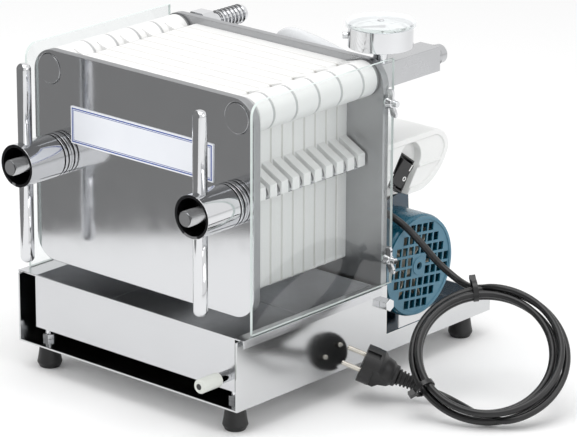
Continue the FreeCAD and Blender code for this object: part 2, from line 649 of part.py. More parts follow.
# Outlet nozzle: a ribbed hose tail with a coupling nut, from the left port
def outlet_nozzle():
    x = -PORT_X
    neck_end = back_rear + NOZZLE_NECK_LENGTH
    neck = rod(NOZZLE_NECK_RADIUS, Vector(x, back_rear, PORT_Z), Vector(x, neck_end, PORT_Z))
    ribs = []
    for k in range(NOZZLE_RIB_COUNT):
        y = neck_end + k * NOZZLE_RIB_PITCH
        ribs.append(Part.makeCone(NOZZLE_RIB_RADIUS, NOZZLE_TIP_RADIUS, NOZZLE_RIB_PITCH,
                                  Vector(x, y, PORT_Z), Y_AXIS))
    end = neck_end + NOZZLE_RIB_COUNT * NOZZLE_RIB_PITCH
    bore = rod(NOZZLE_BORE_RADIUS, Vector(x, neck_end - 6, PORT_Z), Vector(x, end + 1, PORT_Z))
    nut_y = back_rear + NOZZLE_NUT_START
    nut = hexagon(NOZZLE_NUT_RADIUS, Vector(x, nut_y, PORT_Z), Y_AXIS, NOZZLE_NUT_LENGTH)
    parts["outlet_nozzle"] = neck.fuse(ribs + [nut]).cut(bore)


# Transfer hose: from the pump's outlet up behind the pack to the manifold
def transfer_hose():
    pump_x = MOTOR_START_X - ADAPTOR_LENGTH - PUMP_LENGTH / 2
    port_top = MOTOR_Z + PUMP_RADIUS + PUMP_PORT_RISE
    start = Vector(pump_x, motor_y, port_top)
    end = Vector(PORT_X - MANIFOLD_SIDE / 2, gauge_y, PORT_Z)
    route = [
        start, Vector(pump_x, motor_y, port_top + HOSE_RISE),
        Vector(pump_x + 12, motor_y - 19, PORT_Z + 5), Vector(end.x - 79, gauge_y + 4, PORT_Z + 10),
        Vector(end.x - HOSE_STRAIGHT, gauge_y, PORT_Z), end,
    ]
    path = rounded_path(route)
    parts["transfer_hose"] = tube_along(path, HOSE_RADIUS, HOSE_BORE_RADIUS)
    clamp_x = end.x - HOSE_TAIL / 2
    band = rod(HOSE_RADIUS + CLAMP_THICKNESS, Vector(clamp_x - CLAMP_WIDTH / 2, gauge_y, PORT_Z),
               Vector(clamp_x + CLAMP_WIDTH / 2, gauge_y, PORT_Z))
    parts["hose_clamp"] = band.cut(rod(HOSE_RADIUS, Vector(clamp_x - CLAMP_WIDTH, gauge_y, PORT_Z),
                                       Vector(clamp_x + CLAMP_WIDTH, gauge_y, PORT_Z)))


def rounded_path(points, share=0.45):
    """Straight runs joined by tangent arcs, each as large as its two runs allow."""
    edges = []
    last = points[0]
    for before, corner, after in zip(points, points[1:], points[2:]):
        into = (corner - before).normalize()
        out = (after - corner).normalize()
        shorter = min((corner - before).Length, (after - corner).Length)
        setback = share * shorter
        half_turn = math.acos(max(-1, min(1, into.dot(out)))) / 2
        radius = setback / math.tan(half_turn)
        arc_start = corner - into * setback
        arc_end = corner + out * setback
        bisector = (out - into).normalize()
        centre = corner + bisector * (radius / math.cos(half_turn))
        middle = centre - bisector * radius
        edges.append(Part.LineSegment(last, arc_start).toShape())
        edges.append(Part.Arc(arc_start, middle, arc_end).toShape())
        print("bend radius %.1f mm" % radius)
        last = arc_end
    edges.append(Part.LineSegment(last, points[-1]).toShape())
    return Part.Wire(edges)


def tube_along(path, outer_radius, inner_radius=0.0):
    """A round tube or bar swept along a path of runs and arcs."""
    first = path.Edges[0]
    start = first.Vertexes[0].Point
    heading = first.tangentAt(first.FirstParameter)
    outer = path.makePipeShell([Part.Wire(Part.makeCircle(outer_radius, start, heading))], True, False)
    if inner_radius:
        outer = outer.cut(path.makePipeShell([Part.Wire(Part.makeCircle(inner_radius, start, heading))], True, False))
    return outer


# Motor and pump on the rear deck, the motor's axis across the press
def motor():
    body = rod(MOTOR_RADIUS, Vector(MOTOR_START_X, motor_y, MOTOR_Z), Vector(MOTOR_END_X, motor_y, MOTOR_Z))
    plinth = block(PLINTH_X, (motor_y - PLINTH_REACH, motor_y + PLINTH_REACH), (MOTOR_Z, PLINTH_TOP_Z))
    foot = block(MOTOR_FOOT_X, (motor_y - MOTOR_FOOT_SPREAD, motor_y + MOTOR_FOOT_SPREAD), (floor_top, MOTOR_Z))
    waist = MOTOR_FOOT_SPREAD - 6
    foot = foot.cut(block((0, 200), (motor_y - waist, motor_y + waist), (floor_top - 1, floor_top + 12)))
    socket = rod(SHAFT_RADIUS + SHAFT_CLEARANCE, Vector(MOTOR_END_X - SHAFT_SOCKET, motor_y, MOTOR_Z),
                 Vector(MOTOR_END_X + 1, motor_y, MOTOR_Z))
    parts["motor_body"] = body.fuse([plinth, foot]).cut(socket).removeSplitter()

    cup = rod(COVER_RADIUS, Vector(MOTOR_END_X, motor_y, MOTOR_Z), Vector(COVER_END_X, motor_y, MOTOR_Z))
    cup = cup.makeFillet(COVER_EDGE_RADIUS, [e for e in cup.Edges if e.CenterOfMass.x > COVER_END_X - 0.1])
    inside = rod(COVER_RADIUS - COVER_WALL, Vector(MOTOR_END_X - 1, motor_y, MOTOR_Z),
                 Vector(COVER_END_X - COVER_WALL, motor_y, MOTOR_Z))
    cup = cup.cut(inside)
    face = Vector(COVER_END_X, motor_y, MOTOR_Z)
    rim_outer = COVER_RADIUS - COVER_EDGE_RADIUS + COVER_RIM_WIDTH
    rim = rod(rim_outer, face - X_AXIS, face + X_AXIS * COVER_RIM_HEIGHT)
    rim = rim.cut(rod(rim_outer - COVER_RIM_WIDTH, face - X_AXIS * 2, face + X_AXIS * 2))
    hub = rod(GRILLE_HUB_RADIUS, face - X_AXIS, face + X_AXIS * GRILLE_HUB_HEIGHT)
    cup = cup.cut(Part.makeCompound(grille_holes())).fuse([rim, hub])
    hub_hole = rod(GRILLE_HUB_HOLE, face - X_AXIS * (COVER_WALL + 1), face + X_AXIS * 2)
    parts["fan_cover"] = cup.cut(hub_hole).removeSplitter()


def grille_holes():
    """Oblong holes on a slightly turned grid inside the grille's circle, round a solid hub."""
    holes = []
    width, height = GRILLE_HOLE_WIDTH, GRILLE_HOLE_HEIGHT
    count = int(GRILLE_RADIUS / GRILLE_PITCH_Y) + 1
    for row in range(-count, count):
        for column in range(-count, count):
            y = (column + 0.5) * GRILLE_PITCH_Y
            z = (row + 0.5) * GRILLE_PITCH_Z
            if math.hypot(abs(y) + width / 2, abs(z) + height / 2) > GRILLE_RADIUS:
                continue
            if math.hypot(abs(y), abs(z)) < GRILLE_HUB_RADIUS:
                continue
            hole = block((COVER_END_X - COVER_WALL - 1, COVER_END_X + 2), (y - width / 2, y + width / 2),
                         (z - height / 2, z + height / 2))
            hole.Placement = FreeCAD.Placement(Vector(0, motor_y, MOTOR_Z),
                                               FreeCAD.Rotation(X_AXIS, -GRILLE_TURN))
            holes.append(hole)
    return holes


def fan():
    shaft = rod(SHAFT_RADIUS, Vector(MOTOR_END_X - SHAFT_SOCKET + 0.5, motor_y, MOTOR_Z),
                Vector(FAN_START_X, motor_y, MOTOR_Z))
    hub = rod(FAN_HUB_RADIUS, Vector(FAN_START_X, motor_y, MOTOR_Z),
              Vector(FAN_START_X + FAN_LENGTH, motor_y, MOTOR_Z))
    blades = []
    for k in range(FAN_BLADES):
        blade = block((FAN_START_X, FAN_START_X + FAN_LENGTH),
                      (motor_y - FAN_BLADE_THICKNESS / 2, motor_y + FAN_BLADE_THICKNESS / 2),
                      (MOTOR_Z + FAN_HUB_RADIUS - 2, MOTOR_Z + FAN_RADIUS))
        blade.rotate(Vector(0, motor_y, MOTOR_Z), X_AXIS, 360.0 * k / FAN_BLADES)
        blades.append(blade)
    parts["cooling_fan"] = shaft.fuse([hub] + blades).removeSplitter()


def pump():
    adaptor_end = MOTOR_START_X - ADAPTOR_LENGTH
    pump_end = adaptor_end - PUMP_LENGTH
    adaptor = rod(ADAPTOR_RADIUS, Vector(MOTOR_START_X, motor_y, MOTOR_Z), Vector(adaptor_end, motor_y, MOTOR_Z))
    head = rod(PUMP_RADIUS, Vector(adaptor_end, motor_y, MOTOR_Z), Vector(pump_end, motor_y, MOTOR_Z))
    port_x = (adaptor_end + pump_end) / 2
    outlet_top = MOTOR_Z + PUMP_RADIUS + PUMP_PORT_RISE
    outlet = rod(PUMP_PORT_RADIUS, Vector(port_x, motor_y, MOTOR_Z), Vector(port_x, motor_y, outlet_top))
    inlet = rod(PUMP_PORT_RADIUS, Vector(pump_end, motor_y, MOTOR_Z), Vector(pump_end - 18, motor_y, MOTOR_Z))
    parts["pump_head"] = adaptor.fuse([head, outlet, inlet]).removeSplitter()


# Switch box: a moulded hood on the motor's plinth, with an inclined rocker switch in its right side
def switch_box():
    start, end = SWITCH_X
    rear = switch_rear
    corners = [Vector(start, y, z) for y, z in (
        (switch_front, PLINTH_TOP_Z), (switch_front, switch_top), (rear - 22, switch_top),
        (rear, switch_top - 23), (rear - 42, PLINTH_TOP_Z))]
    outline = Part.Wire([
        Part.LineSegment(corners[0], corners[1]).toShape(),
        Part.LineSegment(corners[1], corners[2]).toShape(),
        Part.Arc(corners[2], Vector(start, rear - 5.5, switch_top - 7.5), corners[3]).toShape(),
        Part.Arc(corners[3], Vector(start, rear - 9, PLINTH_TOP_Z + 19.5), corners[4]).toShape(),
        Part.LineSegment(corners[4], corners[0]).toShape(),
    ])
    box = along_x(outline, end - start)
    pocket_floor = end - ROCKER_POCKET_DEPTH
    arch = rod(ROCKER_POCKET_RADIUS, Vector(pocket_floor, 0, 0), Vector(end + 1, 0, 0))
    slot = block((pocket_floor, end + 1), (-ROCKER_POCKET_RADIUS, ROCKER_POCKET_RADIUS), (-80, 0))
    outline_end = outline.copy()
    outline_end.translate(X_AXIS * (end - start - BOX_PANEL_DEPTH))
    panel = along_x(outline_end.makeOffset2D(-BOX_RIM_WIDTH), BOX_PANEL_DEPTH + 1)
    seam_z = PLINTH_TOP_Z + BOX_SEAM_RISE
    seam = block((end - BOX_PANEL_DEPTH - 1, end + 2), (switch_front, rear), (seam_z, seam_z + BOX_RIB_WIDTH))
    rib_y = switch_front + BOX_RIB_SETBACK
    upright = block((end - BOX_PANEL_DEPTH - 1, end + 2), (rib_y, rib_y + BOX_RIB_WIDTH),
                    (seam_z, switch_top))
    panel = panel.cut(seam.fuse(upright))
    box = box.cut(panel).cut(lean(arch.fuse(slot)))
    parts["switch_box"] = box.removeSplitter()

    left = -ROCKER_POCKET_RADIUS + ROCKER_FIT
    right = left + ROCKER_FRAME_WIDTH
    face = pocket_floor + ROCKER_FRAME_THICKNESS
    frame = block((pocket_floor, face), (left, right), (-ROCKER_FRAME_LENGTH, 0))
    rim = ROCKER_FRAME_RIM
    window = block((pocket_floor - 1, face + 1), (left + rim, right - rim), (rim - ROCKER_FRAME_LENGTH, -rim))
    parts["switch_frame"] = lean(frame.cut(window))

    pivot_x = end - ROCKER_PIVOT_DEPTH
    pivot_z = -ROCKER_FRAME_LENGTH / 2
    profile = [(4.0, -13.5), (6.0, 0), (8.2, 12.0), (1.5, 13.5), (-2.0, 5.0), (-2.0, -5.0), (1.5, -13.5)]
    start_y = left + rim + ROCKER_SIDE_GAP
    outline = [Vector(pivot_x + x, start_y, pivot_z + z) for x, z in profile]
    width = right - left - 2 * rim - 2 * ROCKER_SIDE_GAP
    rocker = Part.Face(Part.makePolygon(outline + outline[:1])).extrude(Vector(0, width, 0))
    parts["switch_rocker"] = lean(rocker)


def lean(shape):
    """Turns a shape from the rocker's own frame to its inclined place in the box's side."""
    placed = shape.copy()
    placed.Placement = FreeCAD.Placement(Vector(0, switch_front + ROCKER_ARCH_SETBACK, switch_top - ROCKER_ARCH_DROP),
                                         FreeCAD.Rotation(X_AXIS, -ROCKER_LEAN))
    return placed


# Mains cord and its plug
def mains_cord():
    gland_start = Vector(PLINTH_X[1], motor_y - GLAND_FORWARD, GLAND_Z)
    gland_end = gland_start + X_AXIS * GLAND_LENGTH
    flange = rod(GLAND_RADIUS, gland_start, gland_start + X_AXIS * 3)
    sleeve = Part.makeCone(GLAND_RADIUS - 1, GLAND_TIP_RADIUS, GLAND_LENGTH, gland_start, X_AXIS)
    parts["cord_gland"] = flange.fuse(sleeve).cut(
        rod(CORD_RADIUS, gland_end - X_AXIS * 4, gland_end + X_AXIS)).removeSplitter()
    lead_start = gland_end - X_AXIS * 4
    lead = rounded_path([lead_start] + [Vector(*point) for point in CORD_LEAD])
    parts["mains_cord_lead"] = tube_along(lead, CORD_RADIUS)

    heading = math.radians(COIL_HEADING)
    tilt = math.radians(COIL_TILT)
    across = Vector(math.sin(heading), -math.cos(heading), 0)
    uphill = Vector(math.cos(heading) * math.cos(tilt), math.sin(heading) * math.cos(tilt), math.sin(tilt))
    coil_axis = across.cross(uphill)
    parts["mains_cord_coil"] = Part.makeTorus(COIL_RADIUS, COIL_SECTION_RADIUS, COIL_CENTRE, coil_axis)
    ties = []
    for turn in TIE_TURNS:
        angle = math.radians(turn)
        place = COIL_CENTRE + (across * math.cos(angle) + uphill * math.sin(angle)) * COIL_RADIUS
        along = uphill * math.cos(angle) - across * math.sin(angle)
        start, end = place - along * TIE_WIDTH / 2, place + along * TIE_WIDTH / 2
        band = rod(COIL_SECTION_RADIUS + TIE_THICKNESS, start, end)
        out = (place - COIL_CENTRE).normalize()
        head = block((-TIE_HEAD / 2, TIE_HEAD / 2), (-TIE_WIDTH / 2 - 0.5, TIE_WIDTH / 2 + 0.5), (0, TIE_HEAD))
        head.Placement = FreeCAD.Placement(place + out * (COIL_SECTION_RADIUS + TIE_THICKNESS / 2),
                                           FreeCAD.Rotation(out.cross(along) * -1, along, out, "ZYX"))
        ties.append(band.fuse(head).cut(rod(COIL_SECTION_RADIUS, start - along, end + along)).removeSplitter())
    parts["cord_ties"] = Part.makeCompound(ties)
    tail = rounded_path([PLUG_REAR] + [Vector(*point) for point in CORD_TAIL])
    parts["mains_cord_tail"] = tube_along(tail, CORD_RADIUS)
    for name in ("mains_cord_lead", "mains_cord_tail"):
        wire = lead if name.endswith("lead") else tail
        print(name, "volume / (section x length) = %.4f" % (
            parts[name].Volume / (math.pi * CORD_RADIUS ** 2 * wire.Length)))
    parts["mains_plug"] = mains_plug()


def mains_plug():
    """A round two-pin plug with a ribbed strain relief, drawn along +Z from its cord end, then laid in place."""
    outline = [(0, 0), (RELIEF_RADIUS - RIB_DEPTH, 0)]
    for rib in range(RIB_COUNT):
        foot = (rib + 0.3) * RIB_PITCH
        radius = RELIEF_RADIUS + rib * RIB_GROWTH
        outline += [(radius - RIB_DEPTH, foot), (radius, foot), (radius, foot + RIB_PITCH / 2),
                    (radius - RIB_DEPTH, foot + RIB_PITCH / 2)]
    outline += [(10.5, 27), (10.5, 30), (13.0, 33), (15.0, 41), (PLUG_BODY_RADIUS, 45),
                (PLUG_BODY_RADIUS, PLUG_LENGTH), (0, PLUG_LENGTH)]
    corners = [Vector(r, 0, z) for r, z in outline]
    plug = Part.Face(Part.makePolygon(corners + corners[:1])).revolve(Vector(), Z_AXIS, 360)
    slot_floor = PLUG_BODY_RADIUS - PLUG_SLOT_DEPTH
    for side in (-1, 1):
        slot = block(sorted((side * slot_floor, side * (PLUG_BODY_RADIUS + 1))),
                     (-PLUG_SLOT_WIDTH / 2, PLUG_SLOT_WIDTH / 2), (PLUG_LENGTH - PLUG_SLOT_LENGTH, PLUG_LENGTH + 1))
        flat = block((-PLUG_BODY_RADIUS, PLUG_BODY_RADIUS),
                     sorted((side * PLUG_GRIP_WIDTH / 2, side * (PLUG_BODY_RADIUS + 1))), (30, PLUG_LENGTH - 12))
        plug = plug.cut(slot.fuse(flat))
    for side in (-1, 1):
        base = Vector(0, side * PLUG_PIN_SPREAD / 2, PLUG_LENGTH - 1)
        pin = rod(PLUG_PIN_RADIUS, base, base + Z_AXIS * (PLUG_PIN_LENGTH + 1))
        pin = pin.makeChamfer(0.8, [edge for edge in pin.Edges if edge.CenterOfMass.z > PLUG_LENGTH + 1
                                    and len(edge.Vertexes) == 1])
        plug = plug.fuse(pin)
    plug.Placement = FreeCAD.Placement(PLUG_REAR, FreeCAD.Rotation(Z_AXIS, PLUG_HEADING))
    return plug.removeSplitter()


def export():
    os.makedirs("parts", exist_ok=True)
    for name, shape in parts.items():
        shape.exportStep(os.path.join("parts", name + ".step"))
        print(name, len(shape.Solids), "%.0f mm3" % shape.Volume, "ok" if shape.isValid() else "INVALID")


base_frame()
feet()
drip_tray()
filter_pack()
pressure_plate()
back_plate()
tie_rods()
hand_nuts()
side_guards()
manifold()
pressure_gauge()
outlet_nozzle()
transfer_hose()
motor()
fan()
pump()
switch_box()
mains_cord()
export()
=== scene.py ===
import math

import bmesh
import bpy
from mathutils import Matrix, Vector


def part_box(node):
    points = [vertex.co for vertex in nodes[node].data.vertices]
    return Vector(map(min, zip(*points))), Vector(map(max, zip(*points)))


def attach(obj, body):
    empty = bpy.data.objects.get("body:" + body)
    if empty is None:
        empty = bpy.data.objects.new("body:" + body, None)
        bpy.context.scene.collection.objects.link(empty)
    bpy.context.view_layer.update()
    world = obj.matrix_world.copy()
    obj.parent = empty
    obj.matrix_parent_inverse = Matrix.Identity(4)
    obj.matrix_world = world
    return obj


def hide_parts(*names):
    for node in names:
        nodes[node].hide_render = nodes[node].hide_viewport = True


# Bench plate filter press. Metres, +Z up, +Y towards the motor, +X to the operator's right.
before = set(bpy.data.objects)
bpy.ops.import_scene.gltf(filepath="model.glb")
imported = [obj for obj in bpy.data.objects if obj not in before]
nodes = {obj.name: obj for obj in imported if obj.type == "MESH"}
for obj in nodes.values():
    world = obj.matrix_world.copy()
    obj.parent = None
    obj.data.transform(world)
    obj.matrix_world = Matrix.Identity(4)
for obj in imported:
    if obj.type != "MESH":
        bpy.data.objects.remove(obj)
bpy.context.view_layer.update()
scene = bpy.context.scene
scene.view_settings.view_transform = "Standard"

# Camera: a long lens from the operator's front right, a little above the press.
CAMERA_PLACE = Vector((2.1918, -2.4177, 1.2430))
CAMERA_TARGET = Vector((0.0760, -0.0215, 0.1661))
CAMERA_ROLL = math.radians(0.24)

camera = bpy.data.objects.new("camera", bpy.data.cameras.new("camera"))
camera.data.sensor_width = 36.0
camera.data.lens = 218.25
camera.data.clip_end = 60.0
sight = (CAMERA_TARGET - CAMERA_PLACE).normalized()
level = sight.cross(Vector((0, 0, 1))).normalized()
right = Matrix.Rotation(-CAMERA_ROLL, 3, sight) @ level
above = right.cross(sight)
camera.matrix_world = Matrix.Translation(CAMERA_PLACE) @ Matrix((right, above, -sight)).transposed().to_4x4()
scene.collection.objects.link(camera)
scene.camera = camera

# Mains cord: black PVC sheath, 7 mm. It drops from its strain relief, lies as three and a half loose
# turns held by two nylon ties, and comes back to a moulded two-pin plug.
CORD_RADIUS = 0.0035
CORD_EXIT = Vector((0.112, 0.072, 0.160))
CORD_LEAD = [
    (0.1270, 0.0728, 0.1568), (0.1425, 0.0770, 0.1475), (0.1560, 0.0855, 0.1310), (0.1700, 0.0900, 0.1155),
    (0.1860, 0.0925, 0.1055), (0.2030, 0.0915, 0.0995), (0.2200, 0.0880, 0.0995),
]
CORD_TAIL = [
    (0.2900, 0.0150, 0.0060), (0.2690, 0.0235, 0.0052), (0.2500, 0.0285, 0.0058), (0.2316, 0.0282, 0.0092),
]
PLUG_REAR = Vector((0.2147, 0.0168, 0.0171))
PLUG_HEADING = Vector((-0.770, -0.518, 0.360)).normalized()
PLUG_LENGTH = 0.062
COIL_CENTRE = Vector((0.2688, 0.0477, 0.0560))
COIL_RADIUS = 0.0700
COIL_TILT = math.radians(40.0)
COIL_HEADING = math.radians(129.3)
COIL_START = 84.0
COIL_END = -76.0 - 3 * 360.0
POINTS_PER_TURN = 18
TIED_SPREAD = 0.0048
LOOSE_SPREAD = 0.0072

coil_across = Vector((math.sin(COIL_HEADING), -math.cos(COIL_HEADING), 0))
coil_uphill = Vector((math.cos(COIL_HEADING) * math.cos(COIL_TILT),
                      math.sin(COIL_HEADING) * math.cos(COIL_TILT), math.sin(COIL_TILT)))
coil_axis = coil_across.cross(coil_uphill)


def coil_place(turn, outward=0.0, sideways=0.0):
    """A point of the coil at an angle in degrees, moved outward and along the coil's axis."""
    spoke = coil_across * math.cos(math.radians(turn)) + coil_uphill * math.sin(math.radians(turn))
    return COIL_CENTRE + spoke * (COIL_RADIUS + outward) + coil_axis * sideways


def add(tree, kind, settings=(), **links):
    """Adds a node to a tree, with its settings and the values or links of its inputs."""
    made = tree.nodes.new(kind)
    for name, value in dict(settings).items():
        setattr(made, name, value)
    for name, value in links.items():
        key = int(name[1:]) if name[0] == "i" and name[1:].isdigit() else name.replace("_", " ")
        if isinstance(value, bpy.types.NodeSocket):
            tree.links.new(value, made.inputs[key])
        else:
            made.inputs[key].default_value = value
    return made


def srgb(code, share=1.0):
    """A linear colour with alpha from an sRGB hex code, darkened to a share of itself."""
    channels = [int(code[k:k + 2], 16) / 255 for k in (0, 2, 4)]
    return tuple(share * (c / 12.92 if c < 0.04045 else ((c + 0.055) / 1.055) ** 2.4) for c in channels) + (1.0,)


def blank_material(name):
    """An empty node material: returns it, its tree and its output node."""
    material = bpy.data.materials.new(name)
    material.use_nodes = True
    material.node_tree.nodes.clear()
    return material, material.node_tree, material.node_tree.nodes.new("ShaderNodeOutputMaterial")


def moulded(name, base, gloss, grain_mm, relief=0.06, spread=0.06, shade=0.12, clear=0.0):
    """A moulded or painted skin: a colour that drifts a little, and a fine grain in its gloss and relief."""
    material, tree, output = blank_material(name)
    spot = add(tree, "ShaderNodeTexCoord")
    drift = add(tree, "ShaderNodeTexNoise", Vector=spot.outputs["Object"], Scale=32.0, Detail=3.0)
    grain = add(tree, "ShaderNodeTexNoise", Vector=spot.outputs["Object"], Scale=1000 / grain_mm, Detail=3.0)
    colour = add(tree, "ShaderNodeMix", {"data_type": "RGBA"}, i0=drift.outputs["Fac"],
                 i6=srgb(base, 1 - shade), i7=srgb(base))
    dull = add(tree, "ShaderNodeMapRange", Value=grain.outputs["Fac"], To_Min=gloss - spread, To_Max=gloss + spread)
    bump = add(tree, "ShaderNodeBump", Strength=relief, Distance=grain_mm / 4000, Height=grain.outputs["Fac"])
    skin = add(tree, "ShaderNodeBsdfPrincipled", Base_Color=colour.outputs[2], Roughness=dull.outputs["Result"],
               Coat_Weight=clear, Normal=bump.outputs["Normal"])
    tree.links.new(skin.outputs["BSDF"], output.inputs["Surface"])
    return material


def metal(name, base, gloss, smudge=0.02, smudge_mm=30.0, grain=0.0, grain_mm=0.8, lay=(1, 1, 1), relief=0.0,
          shade=0.06):
    """A bare metal: smudges of one size in its colour and gloss, and a grain that lay stretches along an axis."""
    material, tree, output = blank_material(name)
    spot = add(tree, "ShaderNodeTexCoord")
    drawn = add(tree, "ShaderNodeMapping", Vector=spot.outputs["Object"], Scale=lay)
    smudges = add(tree, "ShaderNodeTexNoise", Vector=spot.outputs["Object"], Scale=1000 / smudge_mm, Detail=4.0)
    lines = add(tree, "ShaderNodeTexNoise", Vector=drawn.outputs["Vector"], Scale=1000 / grain_mm, Detail=2.0)
    colour = add(tree, "ShaderNodeMix", {"data_type": "RGBA"}, i0=smudges.outputs["Fac"],
                 i6=srgb(base, 1 - shade), i7=srgb(base))
    dull = add(tree, "ShaderNodeMapRange", Value=smudges.outputs["Fac"], From_Min=0.3, From_Max=0.7,
               To_Min=gloss - smudge - grain / 2, To_Max=gloss + smudge - grain / 2)
    dull = add(tree, "ShaderNodeMath", {"operation": "MULTIPLY_ADD"}, i0=lines.outputs["Fac"], i1=grain,
               i2=dull.outputs["Result"])
    bump = add(tree, "ShaderNodeBump", Strength=relief, Distance=grain_mm / 4000, Height=lines.outputs["Fac"])
    skin = add(tree, "ShaderNodeBsdfPrincipled", Base_Color=colour.outputs[2], Metallic=1.0,
               Roughness=dull.outputs["Value"], Normal=bump.outputs["Normal"])
    tree.links.new(skin.outputs["BSDF"], output.inputs["Surface"])
    return material


def settled(shape, name, body, material, edge_mm=0.0, sharp=32.0):
    """Turns a bmesh into a piece that rides on a body, smooth but for its sharp edges, which may be broken."""
    mesh = bpy.data.meshes.new(name)
    shape.to_mesh(mesh)
    shape.free()
    mesh.materials.append(material)
    mesh.shade_smooth()
    piece = bpy.data.objects.new(name, mesh)
    scene.collection.objects.link(piece)
    if edge_mm:
        broken = piece.modifiers.new("broken_edges", "BEVEL")
        broken.width = edge_mm / 1000
        broken.segments = 2
        broken.limit_method = "ANGLE"
        broken.angle_limit = math.radians(sharp)
        broken.use_clamp_overlap = False
        piece.modifiers.new("flat_stays_flat", "WEIGHTED_NORMAL")
    else:
        mesh.set_sharp_from_angle(angle=math.radians(sharp))
    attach(piece, body)
    return piece


def finished(node, body, material, edge_mm=0.25, sharp=32.0):
    """A welded copy of a CAD solid with its sharp edges broken, which stands for it."""
    shape = bmesh.new()
    shape.from_mesh(nodes[node].data)
    bmesh.ops.remove_doubles(shape, verts=shape.verts, dist=2e-6)
    bmesh.ops.dissolve_limit(shape, angle_limit=math.radians(0.4), verts=shape.verts, edges=shape.edges)
    piece = settled(shape, node + "_made", body, material, edge_mm, sharp)
    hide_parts(node)
    return piece


def paint(piece, material, test):
    """Gives another material to the faces that pass the test."""
    piece.data.materials.append(material)
    for face in piece.data.polygons:
        if test(face):
            face.material_index = len(piece.data.materials) - 1


def turned(profile, start, axis, steps=48):
    """A shape spun from (radius, distance) pairs about an axis that leaves start."""
    shape = bmesh.new()
    corners = [shape.verts.new((radius, 0, distance)) for radius, distance in profile]
    lines = [shape.edges.new(pair) for pair in zip(corners, corners[1:])]
    bmesh.ops.spin(shape, geom=corners + lines, axis=(0, 0, 1), cent=(0, 0, 0), angle=2 * math.pi, steps=steps,
                   use_merge=True)
    bmesh.ops.remove_doubles(shape, verts=shape.verts, dist=1e-6)
    bmesh.ops.recalc_face_normals(shape, faces=shape.faces)
    facing = Vector((0, 0, 1)).rotation_difference(axis).to_matrix().to_4x4()
    bmesh.ops.transform(shape, matrix=Matrix.Translation(start) @ facing, verts=shape.verts)
    return shape


cord_curve = bpy.data.curves.new("mains_cord", "CURVE")
cord_curve.dimensions = "3D"
cord_curve.bevel_depth = CORD_RADIUS
cord_curve.bevel_resolution = 4
cord_curve.resolution_u = 6
cord_curve.use_fill_caps = True
cord_points = [CORD_EXIT] + [Vector(point) for point in CORD_LEAD]
turn_count = int((COIL_START - COIL_END) / 360 * POINTS_PER_TURN)
for k in range(turn_count + 1):
    turn = COIL_START + (COIL_END - COIL_START) * k / turn_count
    loose = ((1 + math.cos(math.radians(turn - 345))) / 2) ** 2
    spread = TIED_SPREAD + (LOOSE_SPREAD - TIED_SPREAD) * loose
    place = math.radians(60 + 90 * (COIL_START - turn) / 360)
    cord_points.append(coil_place(turn, spread * math.cos(place), spread * math.sin(place)))
cord_points += [Vector(point) for point in CORD_TAIL] + [PLUG_REAR]
cord_line = cord_curve.splines.new("NURBS")
cord_line.points.add(len(cord_points) - 1)
for point, place in zip(cord_line.points, cord_points):
    point.co = (*place, 1)
cord_line.order_u = 3
cord_line.use_endpoint_u = True
mains_cord = bpy.data.objects.new("mains_cord", cord_curve)
scene.collection.objects.link(mains_cord)
# Soft PVC sheath from the extruder: black, half gloss, with a faint unevenness that breaks its highlight.
extruded_pvc = moulded("extruded_black_pvc", "1c1c1d", 0.33, 2.4, relief=0.10, spread=0.08, shade=0.3)
cord_curve.materials.append(extruded_pvc)
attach(mains_cord, "frame")
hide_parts("mains_cord_lead", "mains_cord_coil", "mains_cord_tail")

# Strain relief: a soft tapered sleeve with ribs, moulded on the cord and pressed into the motor's side.
GLAND_START = Vector((0.088, 0.072, 0.160))
relief_profile = [(0.0, 0.0), (0.0080, 0.0), (0.0080, 0.0026), (0.0070, 0.0030)]
for rib in range(6):
    foot = 0.0036 + rib * 0.0032
    radius = 0.0072 - rib * 0.00038
    relief_profile += [(radius - 0.0010, foot), (radius, foot + 0.0005), (radius, foot + 0.0018),
                       (radius - 0.0010, foot + 0.0023)]
relief_profile += [(0.0046, 0.0230), (0.0043, 0.0240), (CORD_RADIUS - 0.0001, 0.0240)]
# Soft moulded rubber: black and dull, its ribs catching a thin line of light.
moulded_rubber = moulded("moulded_black_rubber", "19191a", 0.44, 0.9, relief=0.12, shade=0.25)
strain_relief = settled(turned(relief_profile, GLAND_START, Vector((1, 0, 0))), "strain_relief", "frame",
                        moulded_rubber, 0.15)
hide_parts("cord_gland")

# Cord ties: two black nylon straps pulled through their heads and cut off short.
# Moulded nylon: black, smooth, with a crisp highlight. The same black also paints the shade in the drain cap's
# bore.
black_nylon_and_painted_shade = moulded("moulded_black_nylon_and_painted_shade", "161617", 0.30, 0.8, relief=0.06, shade=0.25)
cord_ties = finished("cord_ties", "frame", black_nylon_and_painted_shade, 0.2)

# Mains plug: a round two-pin plug of soft black rubber moulded round nickel-plated brass pins.
mains_plug = finished("mains_plug", "frame", moulded_rubber, 0.35)
# Nickel-plated brass: a bright, slightly warm metal with rubbed spots.
nickel_plate = metal("nickel_plated_brass", "cfcbc2", 0.16, 0.05, 6.0)
paint(mains_plug, nickel_plate, lambda face: (face.center - PLUG_REAR).dot(PLUG_HEADING) > PLUG_LENGTH + 0.0002)

# Studio: a white paper floor and surround, with soft lamps above, in front and at the right.
floor_mesh = bpy.data.meshes.new("floor")
shape = bmesh.new()
bmesh.ops.create_grid(shape, x_segments=1, y_segments=1, size=30.0)
shape.to_mesh(floor_mesh)
shape.free()
floor = bpy.data.objects.new("floor", floor_mesh)
scene.collection.objects.link(floor)
floor_paper, tree, output = blank_material("white_paper_floor")
paper = add(tree, "ShaderNodeBsdfDiffuse", Color=srgb("fbfbfb"))
tree.links.new(paper.outputs["BSDF"], output.inputs["Surface"])
floor_mesh.materials.append(floor_paper)

